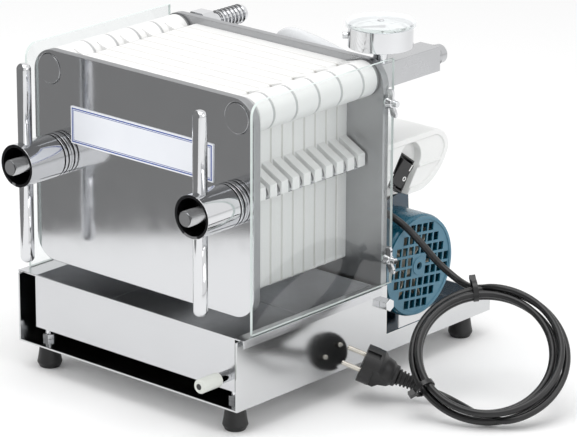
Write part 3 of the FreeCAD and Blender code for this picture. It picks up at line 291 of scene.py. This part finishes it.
world = bpy.data.worlds.new("studio")
world.use_nodes = True
scene.world = world
tree = world.node_tree
tree.nodes.clear()
path = add(tree, "ShaderNodeLightPath")
seen = add(tree, "ShaderNodeMath", {"operation": "MAXIMUM"}, i0=path.outputs["Is Camera Ray"],
           i1=path.outputs["Is Glossy Ray"])
seen = add(tree, "ShaderNodeMath", {"operation": "MAXIMUM"}, i0=seen.outputs[0],
           i1=path.outputs["Is Transmission Ray"])
strength = add(tree, "ShaderNodeMapRange", Value=seen.outputs[0], To_Min=0.75, To_Max=1.0)
sky = add(tree, "ShaderNodeBackground", Color=(1, 1, 1, 1), Strength=strength.outputs["Result"])
output = add(tree, "ShaderNodeOutputWorld", Surface=sky.outputs["Background"])

for name, place, size, power in (
        ("lamp_above", (0.2, -0.3, 2.2), 1.8, 22.0),
        ("lamp_front_left", (-1.6, -2.0, 1.4), 1.2, 12.0),
        ("lamp_right", (2.2, 0.4, 1.3), 1.0, 8.0)):
    lamp = bpy.data.objects.new(name, bpy.data.lights.new(name, "AREA"))
    lamp.data.shape = "SQUARE"
    lamp.data.size = size
    lamp.data.energy = power
    lamp.location = place
    aim = Vector((0, 0, 0.15)) - Vector(place)
    lamp.rotation_euler = aim.to_track_quat("-Z", "Y").to_euler()
    scene.collection.objects.link(lamp)

# Dark card in front of the operator's side, which only the polished steel sees.
card_mesh = bpy.data.meshes.new("dark_card")
shape = bmesh.new()
bmesh.ops.create_grid(shape, x_segments=1, y_segments=1, size=1.0)
bmesh.ops.rotate(shape, cent=(0, 0, 0), matrix=Matrix.Rotation(math.radians(90), 3, "X"), verts=shape.verts)
bmesh.ops.scale(shape, vec=(3.0, 1.0, 1.0), verts=shape.verts)
bmesh.ops.translate(shape, vec=(0, 0, 1.0), verts=shape.verts)
bmesh.ops.rotate(shape, cent=(0, 0, 0), matrix=Matrix.Rotation(math.radians(-41.4), 3, "Z"), verts=shape.verts)
bmesh.ops.translate(shape, vec=(-0.211, -0.595, 0.0), verts=shape.verts)
shape.to_mesh(card_mesh)
shape.free()
dark_card = bpy.data.objects.new("dark_card", card_mesh)
scene.collection.objects.link(dark_card)
card_paint, tree, output = blank_material("grey_card")
card = add(tree, "ShaderNodeEmission", Color=srgb("8c8c8c"), Strength=1.0)
tree.links.new(card.outputs["Emission"], output.inputs["Surface"])
card_mesh.materials.append(card_paint)
for ray in ("camera", "diffuse", "transmission", "volume_scatter", "shadow"):
    setattr(dark_card, "visible_" + ray, False)

# Base: one stainless sheet of 2 mm folded up into a low tray, its front bay open, on four feet.
# Brushed stainless: light grey, mirror-like at a low angle, with a faint grain along the sheet.
base_steel = metal("brushed_stainless_base", "d6d7d8", 0.13, 0.03, 40.0, 0.05, 1.6, (0.05, 0.05, 1.6), 0.02, 0.10)
finished("base_frame", "frame", base_steel, 0.35)

# Feet: moulded black rubber cones, each held by a chromed bolt and nut through the sheet.
finished("feet", "frame", moulded_rubber, 0.6)
# Chromed steel: a near-white mirror with a little dust on it.
chrome = metal("chromed_steel", "dedfe1", 0.07, 0.025, 12.0)
finished("foot_bolts", "frame", chrome, 0.3)

# Drip tray: stainless sheet of 1.5 mm, folded and hung on the base walls by its flanges, with a drain.
# Satin stainless: light grey, wiped along its length, with fine handling scratches.
tray_steel = metal("wiped_stainless_tray", "d3d4d6", 0.20, 0.04, 45.0, 0.10, 1.8, (0.10, 0.10, 1.4), 0.05, 0.12)
finished("drip_tray", "drip_tray_body", tray_steel, 0.3)
finished("drain_spout", "drip_tray_body", chrome, 0.2)
# Drain cap in pale polyethylene: milky and waxy. The shade in the bore at its end is painted, as a thin black disc.
cap_plastic = moulded("milky_polyethylene", "d9dcd6", 0.30, 1.2, relief=0.05)
finished("drain_cap", "drip_tray_body", cap_plastic, 0.8)
CAP_X = 0.1285
CAP_Z = 0.0590
CAP_BORE_RADIUS = 0.0030
CAP_BORE_SKIN = 0.0004
cap_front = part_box("drain_cap")[0][1]
# A thin black disc flush with the cap's end: painted shade where its bore is.
bore_profile = [(0.0, CAP_BORE_SKIN), (CAP_BORE_RADIUS, CAP_BORE_SKIN), (CAP_BORE_RADIUS, -CAP_BORE_SKIN),
                (0.0, -CAP_BORE_SKIN)]
bore_place = Vector((CAP_X, cap_front + CAP_BORE_SKIN / 2, CAP_Z))
settled(turned(bore_profile, bore_place, Vector((0, 1, 0)), 24), "drain_cap_bore_painted_shade", "drip_tray_body",
        black_nylon_and_painted_shade)

# Back plate: thick polished stainless plate that stands on the base and carries rods, guards and pipes.
# Polished plate that has been splashed and wiped: mid-grey, cloudy, with no crisp mirror.
back_steel = metal("clouded_stainless_plate", "b4b5b7", 0.34, 0.07, 28.0, 0.06, 1.0, (1, 1, 0.2), 0.04, 0.20)
finished("back_plate", "frame", back_steel, 0.4)

# Tie rods: chromed steel bars of 16 mm through both plates, threaded at the operator's end, nutted behind.
ROD_X = 0.1143
ROD_Z = 0.2203
ROD_TIP_Y = -0.2085
ROD_RADIUS = 0.008
THREAD_PITCH = 0.002
THREAD_DEPTH = 0.0011
THREAD_LENGTH = 0.0570
THREAD_END_Y = -0.150
ROD_TIP_CHAMFER = 0.0012


def thread(name, crest, root, pitch, length, start, axis, body, material):
    """A cut thread: a V one pitch wide, spun along its axis and trimmed flush at both ends."""
    shape = bmesh.new()
    turns = int(length / pitch) + 2
    corners = [shape.verts.new(place) for place in ((root, 0, -pitch), (crest, 0, -pitch / 2), (root, 0, 0))]
    lines = [shape.edges.new(pair) for pair in zip(corners, corners[1:])]
    bmesh.ops.spin(shape, geom=corners + lines, axis=(0, 0, 1), cent=(0, 0, 0), angle=2 * math.pi * turns,
                   steps=24 * turns, dvec=(0, 0, pitch / 24))
    bmesh.ops.remove_doubles(shape, verts=shape.verts, dist=1e-6)
    for height, side in ((0.0, -1), (length, 1)):
        everything = shape.verts[:] + shape.edges[:] + shape.faces[:]
        bmesh.ops.bisect_plane(shape, geom=everything, plane_co=(0, 0, height), plane_no=(0, 0, side),
                               clear_outer=True)
    bmesh.ops.holes_fill(shape, edges=[line for line in shape.edges if line.is_boundary], sides=0)
    bmesh.ops.recalc_face_normals(shape, faces=shape.faces)
    facing = Vector((0, 0, 1)).rotation_difference(axis).to_matrix().to_4x4()
    bmesh.ops.transform(shape, matrix=Matrix.Translation(start) @ facing, verts=shape.verts)
    return settled(shape, name, body, material, sharp=50.0)


# Rolled thread: bright steel with oil in its roots.
thread_steel = metal("oiled_thread_steel", "b9babc", 0.22, 0.05, 3.0)
for name, side in (("left", -1), ("right", 1)):
    tie_rod = finished("tie_rod_" + name, "frame", chrome, 0.0)
    for vertex in tie_rod.data.vertices:
        out = Vector((vertex.co.x - side * ROD_X, 0, vertex.co.z - ROD_Z))
        if vertex.co.y < THREAD_END_Y and out.length > ROD_RADIUS - 0.0002:
            vertex.co -= out.normalized() * (THREAD_DEPTH + 0.0001)
    thread("tie_rod_thread_" + name, ROD_RADIUS, ROD_RADIUS - THREAD_DEPTH, THREAD_PITCH, THREAD_LENGTH,
           Vector((side * ROD_X, ROD_TIP_Y + ROD_TIP_CHAMFER, ROD_Z)), Vector((0, 1, 0)), "frame",
           thread_steel)

# Filter plates: eleven square plates moulded in white polypropylene, hung on the tie rods by hooked lugs,
# their port barrels alternately at the right and the left.
# Moulded polypropylene: slightly milky white with a soft sheen.
plate_plastic = moulded("moulded_white_polypropylene", "f0f0ef", 0.38, 1.4, relief=0.08, shade=0.05)
for name in ("filter_plates_port_right", "filter_plates_port_left"):
    finished(name, "frame", plate_plastic, 0.5)

# Filter sheets: pressed cellulose pads between the plates, their fibrous edges just showing.
# Cellulose board: off-white, matt, with a fibrous edge.
sheet_fibre = moulded("pressed_cellulose_board", "dddcd8", 0.92, 1.2, relief=0.5, spread=0.04, shade=0.15)
finished("filter_sheets", "frame", sheet_fibre, 0.0)

# Port gaskets: soft grey rings that seal barrel to barrel, the last one darker against the back plate.
# Moulded silicone rubber: grey, a little translucent, dull.
gasket_rubber = moulded("moulded_grey_silicone", "bcbdbe", 0.42, 1.0, relief=0.06, shade=0.1)
dark_gasket = moulded("moulded_dark_silicone", "8f9091", 0.42, 1.0, relief=0.06, shade=0.1)
LAST_GASKET_DEPTH = 0.0035
gaskets = finished("port_gaskets", "frame", gasket_rubber, 0.3)
gasket_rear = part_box("port_gaskets")[1][1]
paint(gaskets, dark_gasket, lambda face: face.center.y > gasket_rear - LAST_GASKET_DEPTH)

# Pressure plate: thick stainless plate, its face mirror polished and its outline cut by laser.
# Mirror polish: the room in it, softened by wiping marks and a few smudges.
plate_mirror = metal("mirror_polished_plate", "d4d5d7", 0.115, 0.02, 22.0, 0.02, 1.2, (1, 1, 0.15), 0.0, 0.04)
# Laser-cut edge: a grey, grainy band with a bright broken corner.
laser_cut = metal("laser_cut_edge", "a9aaac", 0.42, 0.08, 4.0, 0.20, 1.1, (1, 0.3, 1), 0.45, 0.25)
pressure_plate = finished("pressure_plate", "pressure_plate_body", plate_mirror, 0.6)
paint(pressure_plate, laser_cut, lambda face: abs(face.normal.y) < 0.5)

# Port plugs: polished discs pressed into the plate's two port holes, a fine dark joint round each.
finished("port_plugs", "pressure_plate_body", plate_mirror, 0.25)

# Name plate: a bare white film on a thin sheet with a double blue line round it, stuck to the plate.
LABEL_LOW, LABEL_HIGH = (Vector(corner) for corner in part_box("label_plate"))
WIDE_LINE_IN = 0.0021
WIDE_LINE_HALF = 0.0006
THIN_LINE_IN = 0.0037
THIN_LINE_HALF = 0.0003
label_middle = (LABEL_LOW + LABEL_HIGH) / 2
# Printed film: glossy white that drifts a little in tone, its blue lines under a clear layer.
label_film, tree, output = blank_material("printed_label_film")
spot = add(tree, "ShaderNodeTexCoord")
centred = add(tree, "ShaderNodeVectorMath", {"operation": "SUBTRACT"}, i0=spot.outputs["Object"],
              i1=tuple(label_middle))
inner = add(tree, "ShaderNodeVectorMath", {"operation": "ABSOLUTE"}, i0=centred.outputs["Vector"])
across = add(tree, "ShaderNodeSeparateXYZ", Vector=inner.outputs["Vector"])
half = (LABEL_HIGH - LABEL_LOW) / 2
from_side = add(tree, "ShaderNodeMath", {"operation": "SUBTRACT"}, i0=half.x, i1=across.outputs["X"])
from_top = add(tree, "ShaderNodeMath", {"operation": "SUBTRACT"}, i0=half.z, i1=across.outputs["Z"])
from_edge = add(tree, "ShaderNodeMath", {"operation": "MINIMUM"}, i0=from_side.outputs[0],
                i1=from_top.outputs[0])
wide_line = add(tree, "ShaderNodeMath", {"operation": "COMPARE"}, i0=from_edge.outputs[0],
                i1=WIDE_LINE_IN, i2=WIDE_LINE_HALF)
thin_line = add(tree, "ShaderNodeMath", {"operation": "COMPARE"}, i0=from_edge.outputs[0],
                i1=THIN_LINE_IN, i2=THIN_LINE_HALF)
blue = add(tree, "ShaderNodeMath", {"operation": "MAXIMUM"}, i0=wide_line.outputs[0], i1=thin_line.outputs[0])
drift = add(tree, "ShaderNodeTexNoise", Vector=spot.outputs["Object"], Scale=22.0, Detail=3.0)
white = add(tree, "ShaderNodeMix", {"data_type": "RGBA"}, i0=drift.outputs["Fac"], i6=srgb("e6e9f0"),
            i7=srgb("f4f6fa"))
printed = add(tree, "ShaderNodeMix", {"data_type": "RGBA"}, i0=blue.outputs[0], i6=white.outputs[2],
              i7=srgb("3d55a0"))
dull = add(tree, "ShaderNodeMapRange", Value=drift.outputs["Fac"], To_Min=0.18, To_Max=0.30)
film = add(tree, "ShaderNodeBsdfPrincipled", Base_Color=printed.outputs[2], Roughness=dull.outputs["Result"])
tree.links.new(film.outputs["BSDF"], output.inputs["Surface"])
finished("label_plate", "pressure_plate_body", label_film, 0.2)

# Hand nuts: polished stainless tube over a threaded bush, grooved twice at the plate end, and turned by
# a polished bar welded above and one below.
NUT_RADIUS = 0.0212
NUT_BORE_RADIUS = 0.0182
NUT_GROOVES_FROM_Y = -0.1570


def off_axis(face, side):
    """How far a face's centre is from a hand nut's axis."""
    return math.hypot(face.center.x - side * ROD_X, face.center.z - ROD_Z)


# Turned and buffed tube: a clean mirror with fine rings round it.
nut_mirror = metal("buffed_stainless_tube", "d9dadc", 0.07, 0.02, 14.0, 0.03, 0.9, (0.05, 1.0, 0.05), 0.02)
# Inside of the tube and the bottoms of its grooves: near black, painted shade in these recesses.
recess_painted_shade = metal("painted_shade_in_bore_and_grooves", "38383a", 0.42, 0.08, 5.0, shade=0.4)
for name, side in (("left", -1), ("right", 1)):
    body = "hand_nut_" + name + "_body"
    hand_nut = finished("hand_nut_" + name, body, nut_mirror, 0.45)
    # The bore and the groove bottoms take the near-black painted shade.
    paint(hand_nut, recess_painted_shade, lambda face: off_axis(face, side) < NUT_BORE_RADIUS + 0.0001
          or (face.center.y > NUT_GROOVES_FROM_Y and off_axis(face, side) < NUT_RADIUS - 0.0004))
    finished("turning_bar_" + name, body, nut_mirror, 0.0)

# Side guards: clear acrylic sheets of 3 mm with polished edges, slipped over studs in the back plate's edge.
# Cast acrylic: see-through, with a mirror that grows at a glancing view.
clear_acrylic, tree, output = blank_material("clear_cast_acrylic")
spot = add(tree, "ShaderNodeTexCoord")
wipes = add(tree, "ShaderNodeTexNoise", Vector=spot.outputs["Object"], Scale=30.0, Detail=3.0)
dull = add(tree, "ShaderNodeMapRange", Value=wipes.outputs["Fac"], To_Min=0.01, To_Max=0.06)
gloss = add(tree, "ShaderNodeBsdfGlossy", Color=(1, 1, 1, 1), Roughness=dull.outputs["Result"])
clear = add(tree, "ShaderNodeBsdfTransparent", Color=srgb("fafbfb"))
share = add(tree, "ShaderNodeFresnel", IOR=1.49)
side_seen = add(tree, "ShaderNodeNewGeometry")
front = add(tree, "ShaderNodeMath", {"operation": "SUBTRACT"}, i0=1.0, i1=side_seen.outputs["Backfacing"])
share = add(tree, "ShaderNodeMath", {"operation": "MULTIPLY"}, i0=share.outputs["Fac"], i1=front.outputs[0])
pane = add(tree, "ShaderNodeMixShader", i0=share.outputs[0], i1=clear.outputs["BSDF"], i2=gloss.outputs["BSDF"])
tree.links.new(pane.outputs["Shader"], output.inputs["Surface"])
# Polished acrylic edge: it gathers the sheet's light, so it is pale and a little green.
bright_edge = moulded("bright_acrylic_edge", "dfe9e6", 0.15, 3.0, relief=0.02, shade=0.10)
for name in ("left", "right"):
    guard = finished("side_guard_" + name, "frame", clear_acrylic, 0.0)
    paint(guard, bright_edge, lambda face: abs(face.normal.x) < 0.5)
    finished("wing_nuts_" + name, "frame", chrome, 0.4)
finished("base_side_bolts", "frame", chrome, 0.35)

# Inlet manifold: square stainless tube with welded ends, brushed along its length, and a threaded nipple.
NIPPLE_START = Vector((0.122, 0.1269, 0.3045))
NIPPLE_RADIUS = 0.0105
NIPPLE_THREAD_DEPTH = 0.0009
NIPPLE_PITCH = 0.0018
NIPPLE_THREAD_LENGTH = 0.0140
# Brushed tube: mid-grey with a grain that runs along it.
tube_steel = metal("brushed_square_tube", "c4c5c7", 0.24, 0.05, 20.0, 0.14, 1.0, (1, 0.06, 1), 0.10, 0.12)
manifold = finished("inlet_manifold", "frame", tube_steel, 0.7)
for vertex in manifold.data.vertices:
    out = Vector((vertex.co.x - NIPPLE_START.x, 0, vertex.co.z - NIPPLE_START.z))
    if vertex.co.y > NIPPLE_START.y + 0.0002 and abs(out.length - NIPPLE_RADIUS) < 0.0002:
        vertex.co -= out.normalized() * (NIPPLE_THREAD_DEPTH + 0.0001)
thread("inlet_nipple_thread", NIPPLE_RADIUS, NIPPLE_RADIUS - NIPPLE_THREAD_DEPTH, NIPPLE_PITCH,
       NIPPLE_THREAD_LENGTH, NIPPLE_START + Vector((0, 0.0002, 0)), Vector((0, 1, 0)), "frame",
       thread_steel)

# Pressure gauge: chromed case screwed into the manifold, its dial facing up under a clear lens.
GAUGE_CENTRE = Vector((0.122, 0.0585, 0.3490))
DIAL_RADIUS = 0.0285
DIAL_THICKNESS = 0.0004
DIAL_SWEEP = 270.0
DIAL_START = 225.0
TICK_COUNT = 41
TICKS_PER_NUMBER = 5
TICK_MARGIN = 0.0035
LONG_TICK = (0.0050, 0.0007)
SHORT_TICK = (0.0028, 0.0004)
POINTER_LENGTH = 0.0250
NUMBER_COUNT = 5
NUMBER_SIZE = 0.0052
NUMBER_RADIUS = 0.0165
finished("gauge_case", "frame", chrome, 0.5)
# Printed dial: matt white enamel.
dial_enamel = moulded("white_enamelled_dial", "f1f1ef", 0.5, 1.0, relief=0.02, shade=0.04)
dial_profile = [(0.0, 0.0), (DIAL_RADIUS, 0.0), (DIAL_RADIUS, DIAL_THICKNESS), (0.0, DIAL_THICKNESS)]
settled(turned(dial_profile, GAUGE_CENTRE, Vector((0, 0, 1))), "gauge_dial", "frame",
        dial_enamel)
# Dial print and pointer: black, dull.
dial_ink = moulded("black_dial_ink", "262628", 0.55, 1.0, shade=0.2)
dial_top = GAUGE_CENTRE + Vector((0, 0, DIAL_THICKNESS + 0.0001))
shape = bmesh.new()
for tick in range(TICK_COUNT):
    length, width = LONG_TICK if tick % TICKS_PER_NUMBER == 0 else SHORT_TICK
    angle = math.radians(DIAL_START - tick * DIAL_SWEEP / (TICK_COUNT - 1))
    mark = bmesh.ops.create_cube(shape, size=1.0)["verts"]
    bmesh.ops.scale(shape, vec=(length, width, 0.0002), verts=mark)
    bmesh.ops.translate(shape, vec=(DIAL_RADIUS - TICK_MARGIN - length / 2, 0, 0), verts=mark)
    bmesh.ops.rotate(shape, cent=(0, 0, 0), matrix=Matrix.Rotation(angle, 3, "Z"), verts=mark)
pointer = bmesh.ops.create_cone(shape, cap_ends=True, cap_tris=False, segments=4, radius1=0.0016,
                                radius2=0.0003, depth=POINTER_LENGTH)["verts"]
bmesh.ops.rotate(shape, cent=(0, 0, 0), matrix=Matrix.Rotation(math.radians(90), 3, "Y"), verts=pointer)
bmesh.ops.translate(shape, vec=(0.0080, 0, 0.0006), verts=pointer)
bmesh.ops.rotate(shape, cent=(0, 0, 0), matrix=Matrix.Rotation(math.radians(DIAL_START), 3, "Z"),
                 verts=pointer)
bmesh.ops.translate(shape, vec=dial_top, verts=shape.verts)
settled(shape, "gauge_marks", "frame", dial_ink)
for number in range(NUMBER_COUNT):
    text = bpy.data.curves.new("dial_number", "FONT")
    text.body = str(number)
    text.size = NUMBER_SIZE
    text.align_x = "CENTER"
    text.align_y = "CENTER"
    text.extrude = 0.0001
    holder = bpy.data.objects.new("dial_number", text)
    scene.collection.objects.link(holder)
    bpy.context.view_layer.update()
    shape = bmesh.new()
    shape.from_mesh(bpy.data.meshes.new_from_object(holder.evaluated_get(bpy.context.evaluated_depsgraph_get())))
    bpy.data.objects.remove(holder)
    angle = math.radians(DIAL_START - number * DIAL_SWEEP / (NUMBER_COUNT - 1))
    place = dial_top + Vector((math.cos(angle), math.sin(angle), 0)) * NUMBER_RADIUS
    bmesh.ops.translate(shape, vec=place, verts=shape.verts)
    settled(shape, "gauge_number_%d" % number, "frame", dial_ink)
# Gauge lens: clear moulded polycarbonate, hazy at a glancing view.
lens_plastic, tree, output = blank_material("clear_moulded_lens")
spot = add(tree, "ShaderNodeTexCoord")
haze = add(tree, "ShaderNodeTexNoise", Vector=spot.outputs["Object"], Scale=90.0, Detail=3.0)
dull = add(tree, "ShaderNodeMapRange", Value=haze.outputs["Fac"], To_Min=0.03, To_Max=0.12)
milky = add(tree, "ShaderNodeBsdfPrincipled", Base_Color=srgb("eceef0"), Roughness=dull.outputs["Result"])
clear = add(tree, "ShaderNodeBsdfTransparent", Color=srgb("f6f8f8"))
facing = add(tree, "ShaderNodeLayerWeight", Blend=0.45)
side_seen = add(tree, "ShaderNodeNewGeometry")
front = add(tree, "ShaderNodeMath", {"operation": "SUBTRACT"}, i0=1.0, i1=side_seen.outputs["Backfacing"])
share = add(tree, "ShaderNodeMath", {"operation": "MULTIPLY"}, i0=facing.outputs["Facing"], i1=front.outputs[0])
pane = add(tree, "ShaderNodeMixShader", i0=share.outputs[0], i1=clear.outputs["BSDF"], i2=milky.outputs["BSDF"])
tree.links.new(pane.outputs["Shader"], output.inputs["Surface"])
finished("gauge_lens", "frame", lens_plastic, 0.0)
finished("gauge_screw", "frame", chrome, 0.2)

# Outlet nozzle: ribbed hose tail in chromed brass with a hexagon coupling nut against the back plate.
finished("outlet_nozzle", "frame", chrome, 0.3)

# Transfer hose: white food hose stiffened by a spiral in its wall, pushed on the pump's outlet and
# clamped on the manifold's tail.
HOSE_RADIUS = 0.011
HOSE_ROUTE = [
    (-0.0420, 0.1040, 0.1555), (-0.0420, 0.1040, 0.2060), (-0.0420, 0.1040, 0.2535), (-0.0300, 0.0850, 0.3095),
    (0.0305, 0.0625, 0.3145), (0.0835, 0.0585, 0.3045), (0.0970, 0.0585, 0.3045), (0.1095, 0.0585, 0.3045),
]
SPIRAL_PITCH = 0.0065
SPIRAL_WIRE = 0.0009
SPIRAL_SINK = 0.0006
SPIRAL_POINTS_PER_TURN = 8
SPIRAL_END_POINTS = 10
HOSE_WALL_DROP = 0.0004


def tube(name, places, radius, body, material, sides=4, steps=12):
    """A round tube on the NURBS line of its control points, or the bare line where it has no material."""
    curve = bpy.data.curves.new(name, "CURVE")
    curve.dimensions = "3D"
    curve.bevel_depth = radius
    curve.bevel_resolution = sides
    curve.resolution_u = steps
    line = curve.splines.new("NURBS")
    line.points.add(len(places) - 1)
    for point, place in zip(line.points, places):
        point.co = (*place, 1)
    line.order_u = 3
    line.use_endpoint_u = True
    piece = bpy.data.objects.new(name, curve)
    scene.collection.objects.link(piece)
    if material:
        curve.materials.append(material)
        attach(piece, body)
    return piece


# Soft PVC with a hard spiral: milky white and glossy, the spiral a little whiter.
hose_wall = moulded("milky_hose_pvc", "dfe1e3", 0.24, 2.0, relief=0.04, shade=0.08, clear=0.2)
hose_rib = moulded("white_hose_spiral", "f6f7f8", 0.22, 2.0, relief=0.03, shade=0.04, clear=0.2)
hose = tube("transfer_hose_wall", HOSE_ROUTE, HOSE_RADIUS - HOSE_WALL_DROP, "frame", hose_wall, 8)
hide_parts("transfer_hose")
guide = tube("hose_guide", HOSE_ROUTE, 0.0, "frame", None)
bpy.context.view_layer.update()
guide_mesh = bpy.data.meshes.new_from_object(guide.evaluated_get(bpy.context.evaluated_depsgraph_get()))
stations = [vertex.co.copy() for vertex in guide_mesh.vertices]
bpy.data.objects.remove(guide)
spiral = []
travelled = 0.0
spoke = Vector((1, 0, 0))
for before, after in zip(stations, stations[1:]):
    heading = (after - before).normalized()
    spoke = (spoke - heading * spoke.dot(heading)).normalized()
    run = (after - before).length
    steps = max(1, round(run / SPIRAL_PITCH * SPIRAL_POINTS_PER_TURN))
    for step in range(steps):
        angle = 2 * math.pi * (travelled + run * step / steps) / SPIRAL_PITCH
        around = spoke * math.cos(angle) + heading.cross(spoke) * math.sin(angle)
        spiral.append(before.lerp(after, step / steps) + around * (HOSE_RADIUS - SPIRAL_SINK))
    travelled += run
tube("transfer_hose_spiral", spiral[SPIRAL_END_POINTS:-SPIRAL_END_POINTS], SPIRAL_WIRE, "frame",
     hose_rib, sides=2, steps=2)
finished("hose_clamp", "frame", chrome, 0.2)

# Motor: a small capacitor motor in a cast body with a plinth for its switch box, on the rear deck.
# Sprayed enamel on a casting: dark blue, glossy, faintly rippled.
motor_enamel = moulded("dark_blue_enamel", "1b4258", 0.24, 2.6, relief=0.16, spread=0.05, shade=0.2, clear=0.4)
finished("motor_body", "frame", motor_enamel, 1.2)

# Fan cover: a drawn cup with a punched grille, painted and pressed on the motor's end; inside it turns
# a moulded fan.
COVER_FACE_X = 0.1365
COVER_AXIS_Y = 0.1040
COVER_AXIS_Z = 0.0995
COVER_FACE_RADIUS = 0.0475
COVER_FACE_DEPTH = 0.0006
# Blue enamel: the flat face painted a paler, greyer blue than the deep teal of the drawn rim.
cover_face = moulded("pale_grey_blue_enamel", "4f7f95", 0.40, 1.6, relief=0.08, shade=0.16)
cover_rim = moulded("deep_teal_enamel", "106078", 0.28, 2.0, relief=0.06, shade=0.14, clear=0.3)
fan_cover = finished("fan_cover", "frame", cover_rim, 0.3)
paint(fan_cover, cover_face, lambda face: face.center.x > COVER_FACE_X - COVER_FACE_DEPTH
      and math.hypot(face.center.y - COVER_AXIS_Y, face.center.z - COVER_AXIS_Z) < COVER_FACE_RADIUS)
# Fan in natural nylon: a greyish cream, its tone drifting at random.
fan_nylon = moulded("cream_moulded_nylon", "c8bfae", 0.50, 1.2, relief=0.10, shade=0.25)
finished("cooling_fan", "fan_body", fan_nylon, 0.3)

# Pump head: cast bronze, sand-grained, with turned ports.
# Sand-cast bronze: brown-gold, dull, pitted.
cast_bronze = metal("sand_cast_bronze", "b79a6c", 0.44, 0.08, 12.0, 0.12, 1.4, (1, 1, 1), 0.40, 0.25)
finished("pump_head", "frame", cast_bronze, 1.0)

# Switch box: a hood moulded in white ABS, screwed to the motor's plinth, with an inclined rocker switch
# set in a recess of its right side.
# Moulded ABS: near white, half gloss, with a fine spark-eroded grain.
box_abs = moulded("moulded_white_abs", "eeefee", 0.30, 1.1, relief=0.10, shade=0.05)
finished("switch_box", "frame", box_abs, 0.9)
finished("switch_frame", "frame", black_nylon_and_painted_shade, 0.4)
finished("switch_rocker", "rocker_body", black_nylon_and_painted_shade, 0.5)
# Rocker marks: a stroke for on and a ring for off, filled with white paint in the rocker's face.
ROCKER_PIVOT = Vector((0.1195, 0.0904, 0.1958))
ROCKER_LEAN = Matrix.Rotation(math.radians(-35.0), 4, "X")
marking_paint = moulded("white_marking_paint", "f2f2f0", 0.45, 1.0, shade=0.05)
shape = bmesh.new()
bmesh.ops.create_cube(shape, size=1.0)
bmesh.ops.scale(shape, vec=(0.0006, 0.0014, 0.0066), verts=shape.verts)
bmesh.ops.rotate(shape, cent=(0, 0, 0), matrix=Matrix.Rotation(math.atan2(2.2, 12.0), 3, "Y"), verts=shape.verts)
bmesh.ops.translate(shape, vec=(0.0076, 0.0066, 0.0085), verts=shape.verts)
bmesh.ops.transform(shape, matrix=Matrix.Translation(ROCKER_PIVOT) @ ROCKER_LEAN, verts=shape.verts)
settled(shape, "rocker_on_stroke", "rocker_body", marking_paint)
shape = turned([(0.0014, -0.0003), (0.0024, -0.0003), (0.0024, 0.0003), (0.0014, 0.0003), (0.0014, -0.0003)],
               Vector((0, 0, 0)), Vector((1, 0, 0)), 24)
bmesh.ops.rotate(shape, cent=(0, 0, 0), matrix=Matrix.Rotation(math.atan2(2.0, 13.5), 3, "Y"), verts=shape.verts)
bmesh.ops.translate(shape, vec=(0.0055, 0.0062, -0.0036), verts=shape.verts)
bmesh.ops.transform(shape, matrix=Matrix.Translation(ROCKER_PIVOT) @ ROCKER_LEAN, verts=shape.verts)
settled(shape, "rocker_off_ring", "rocker_body", marking_paint)
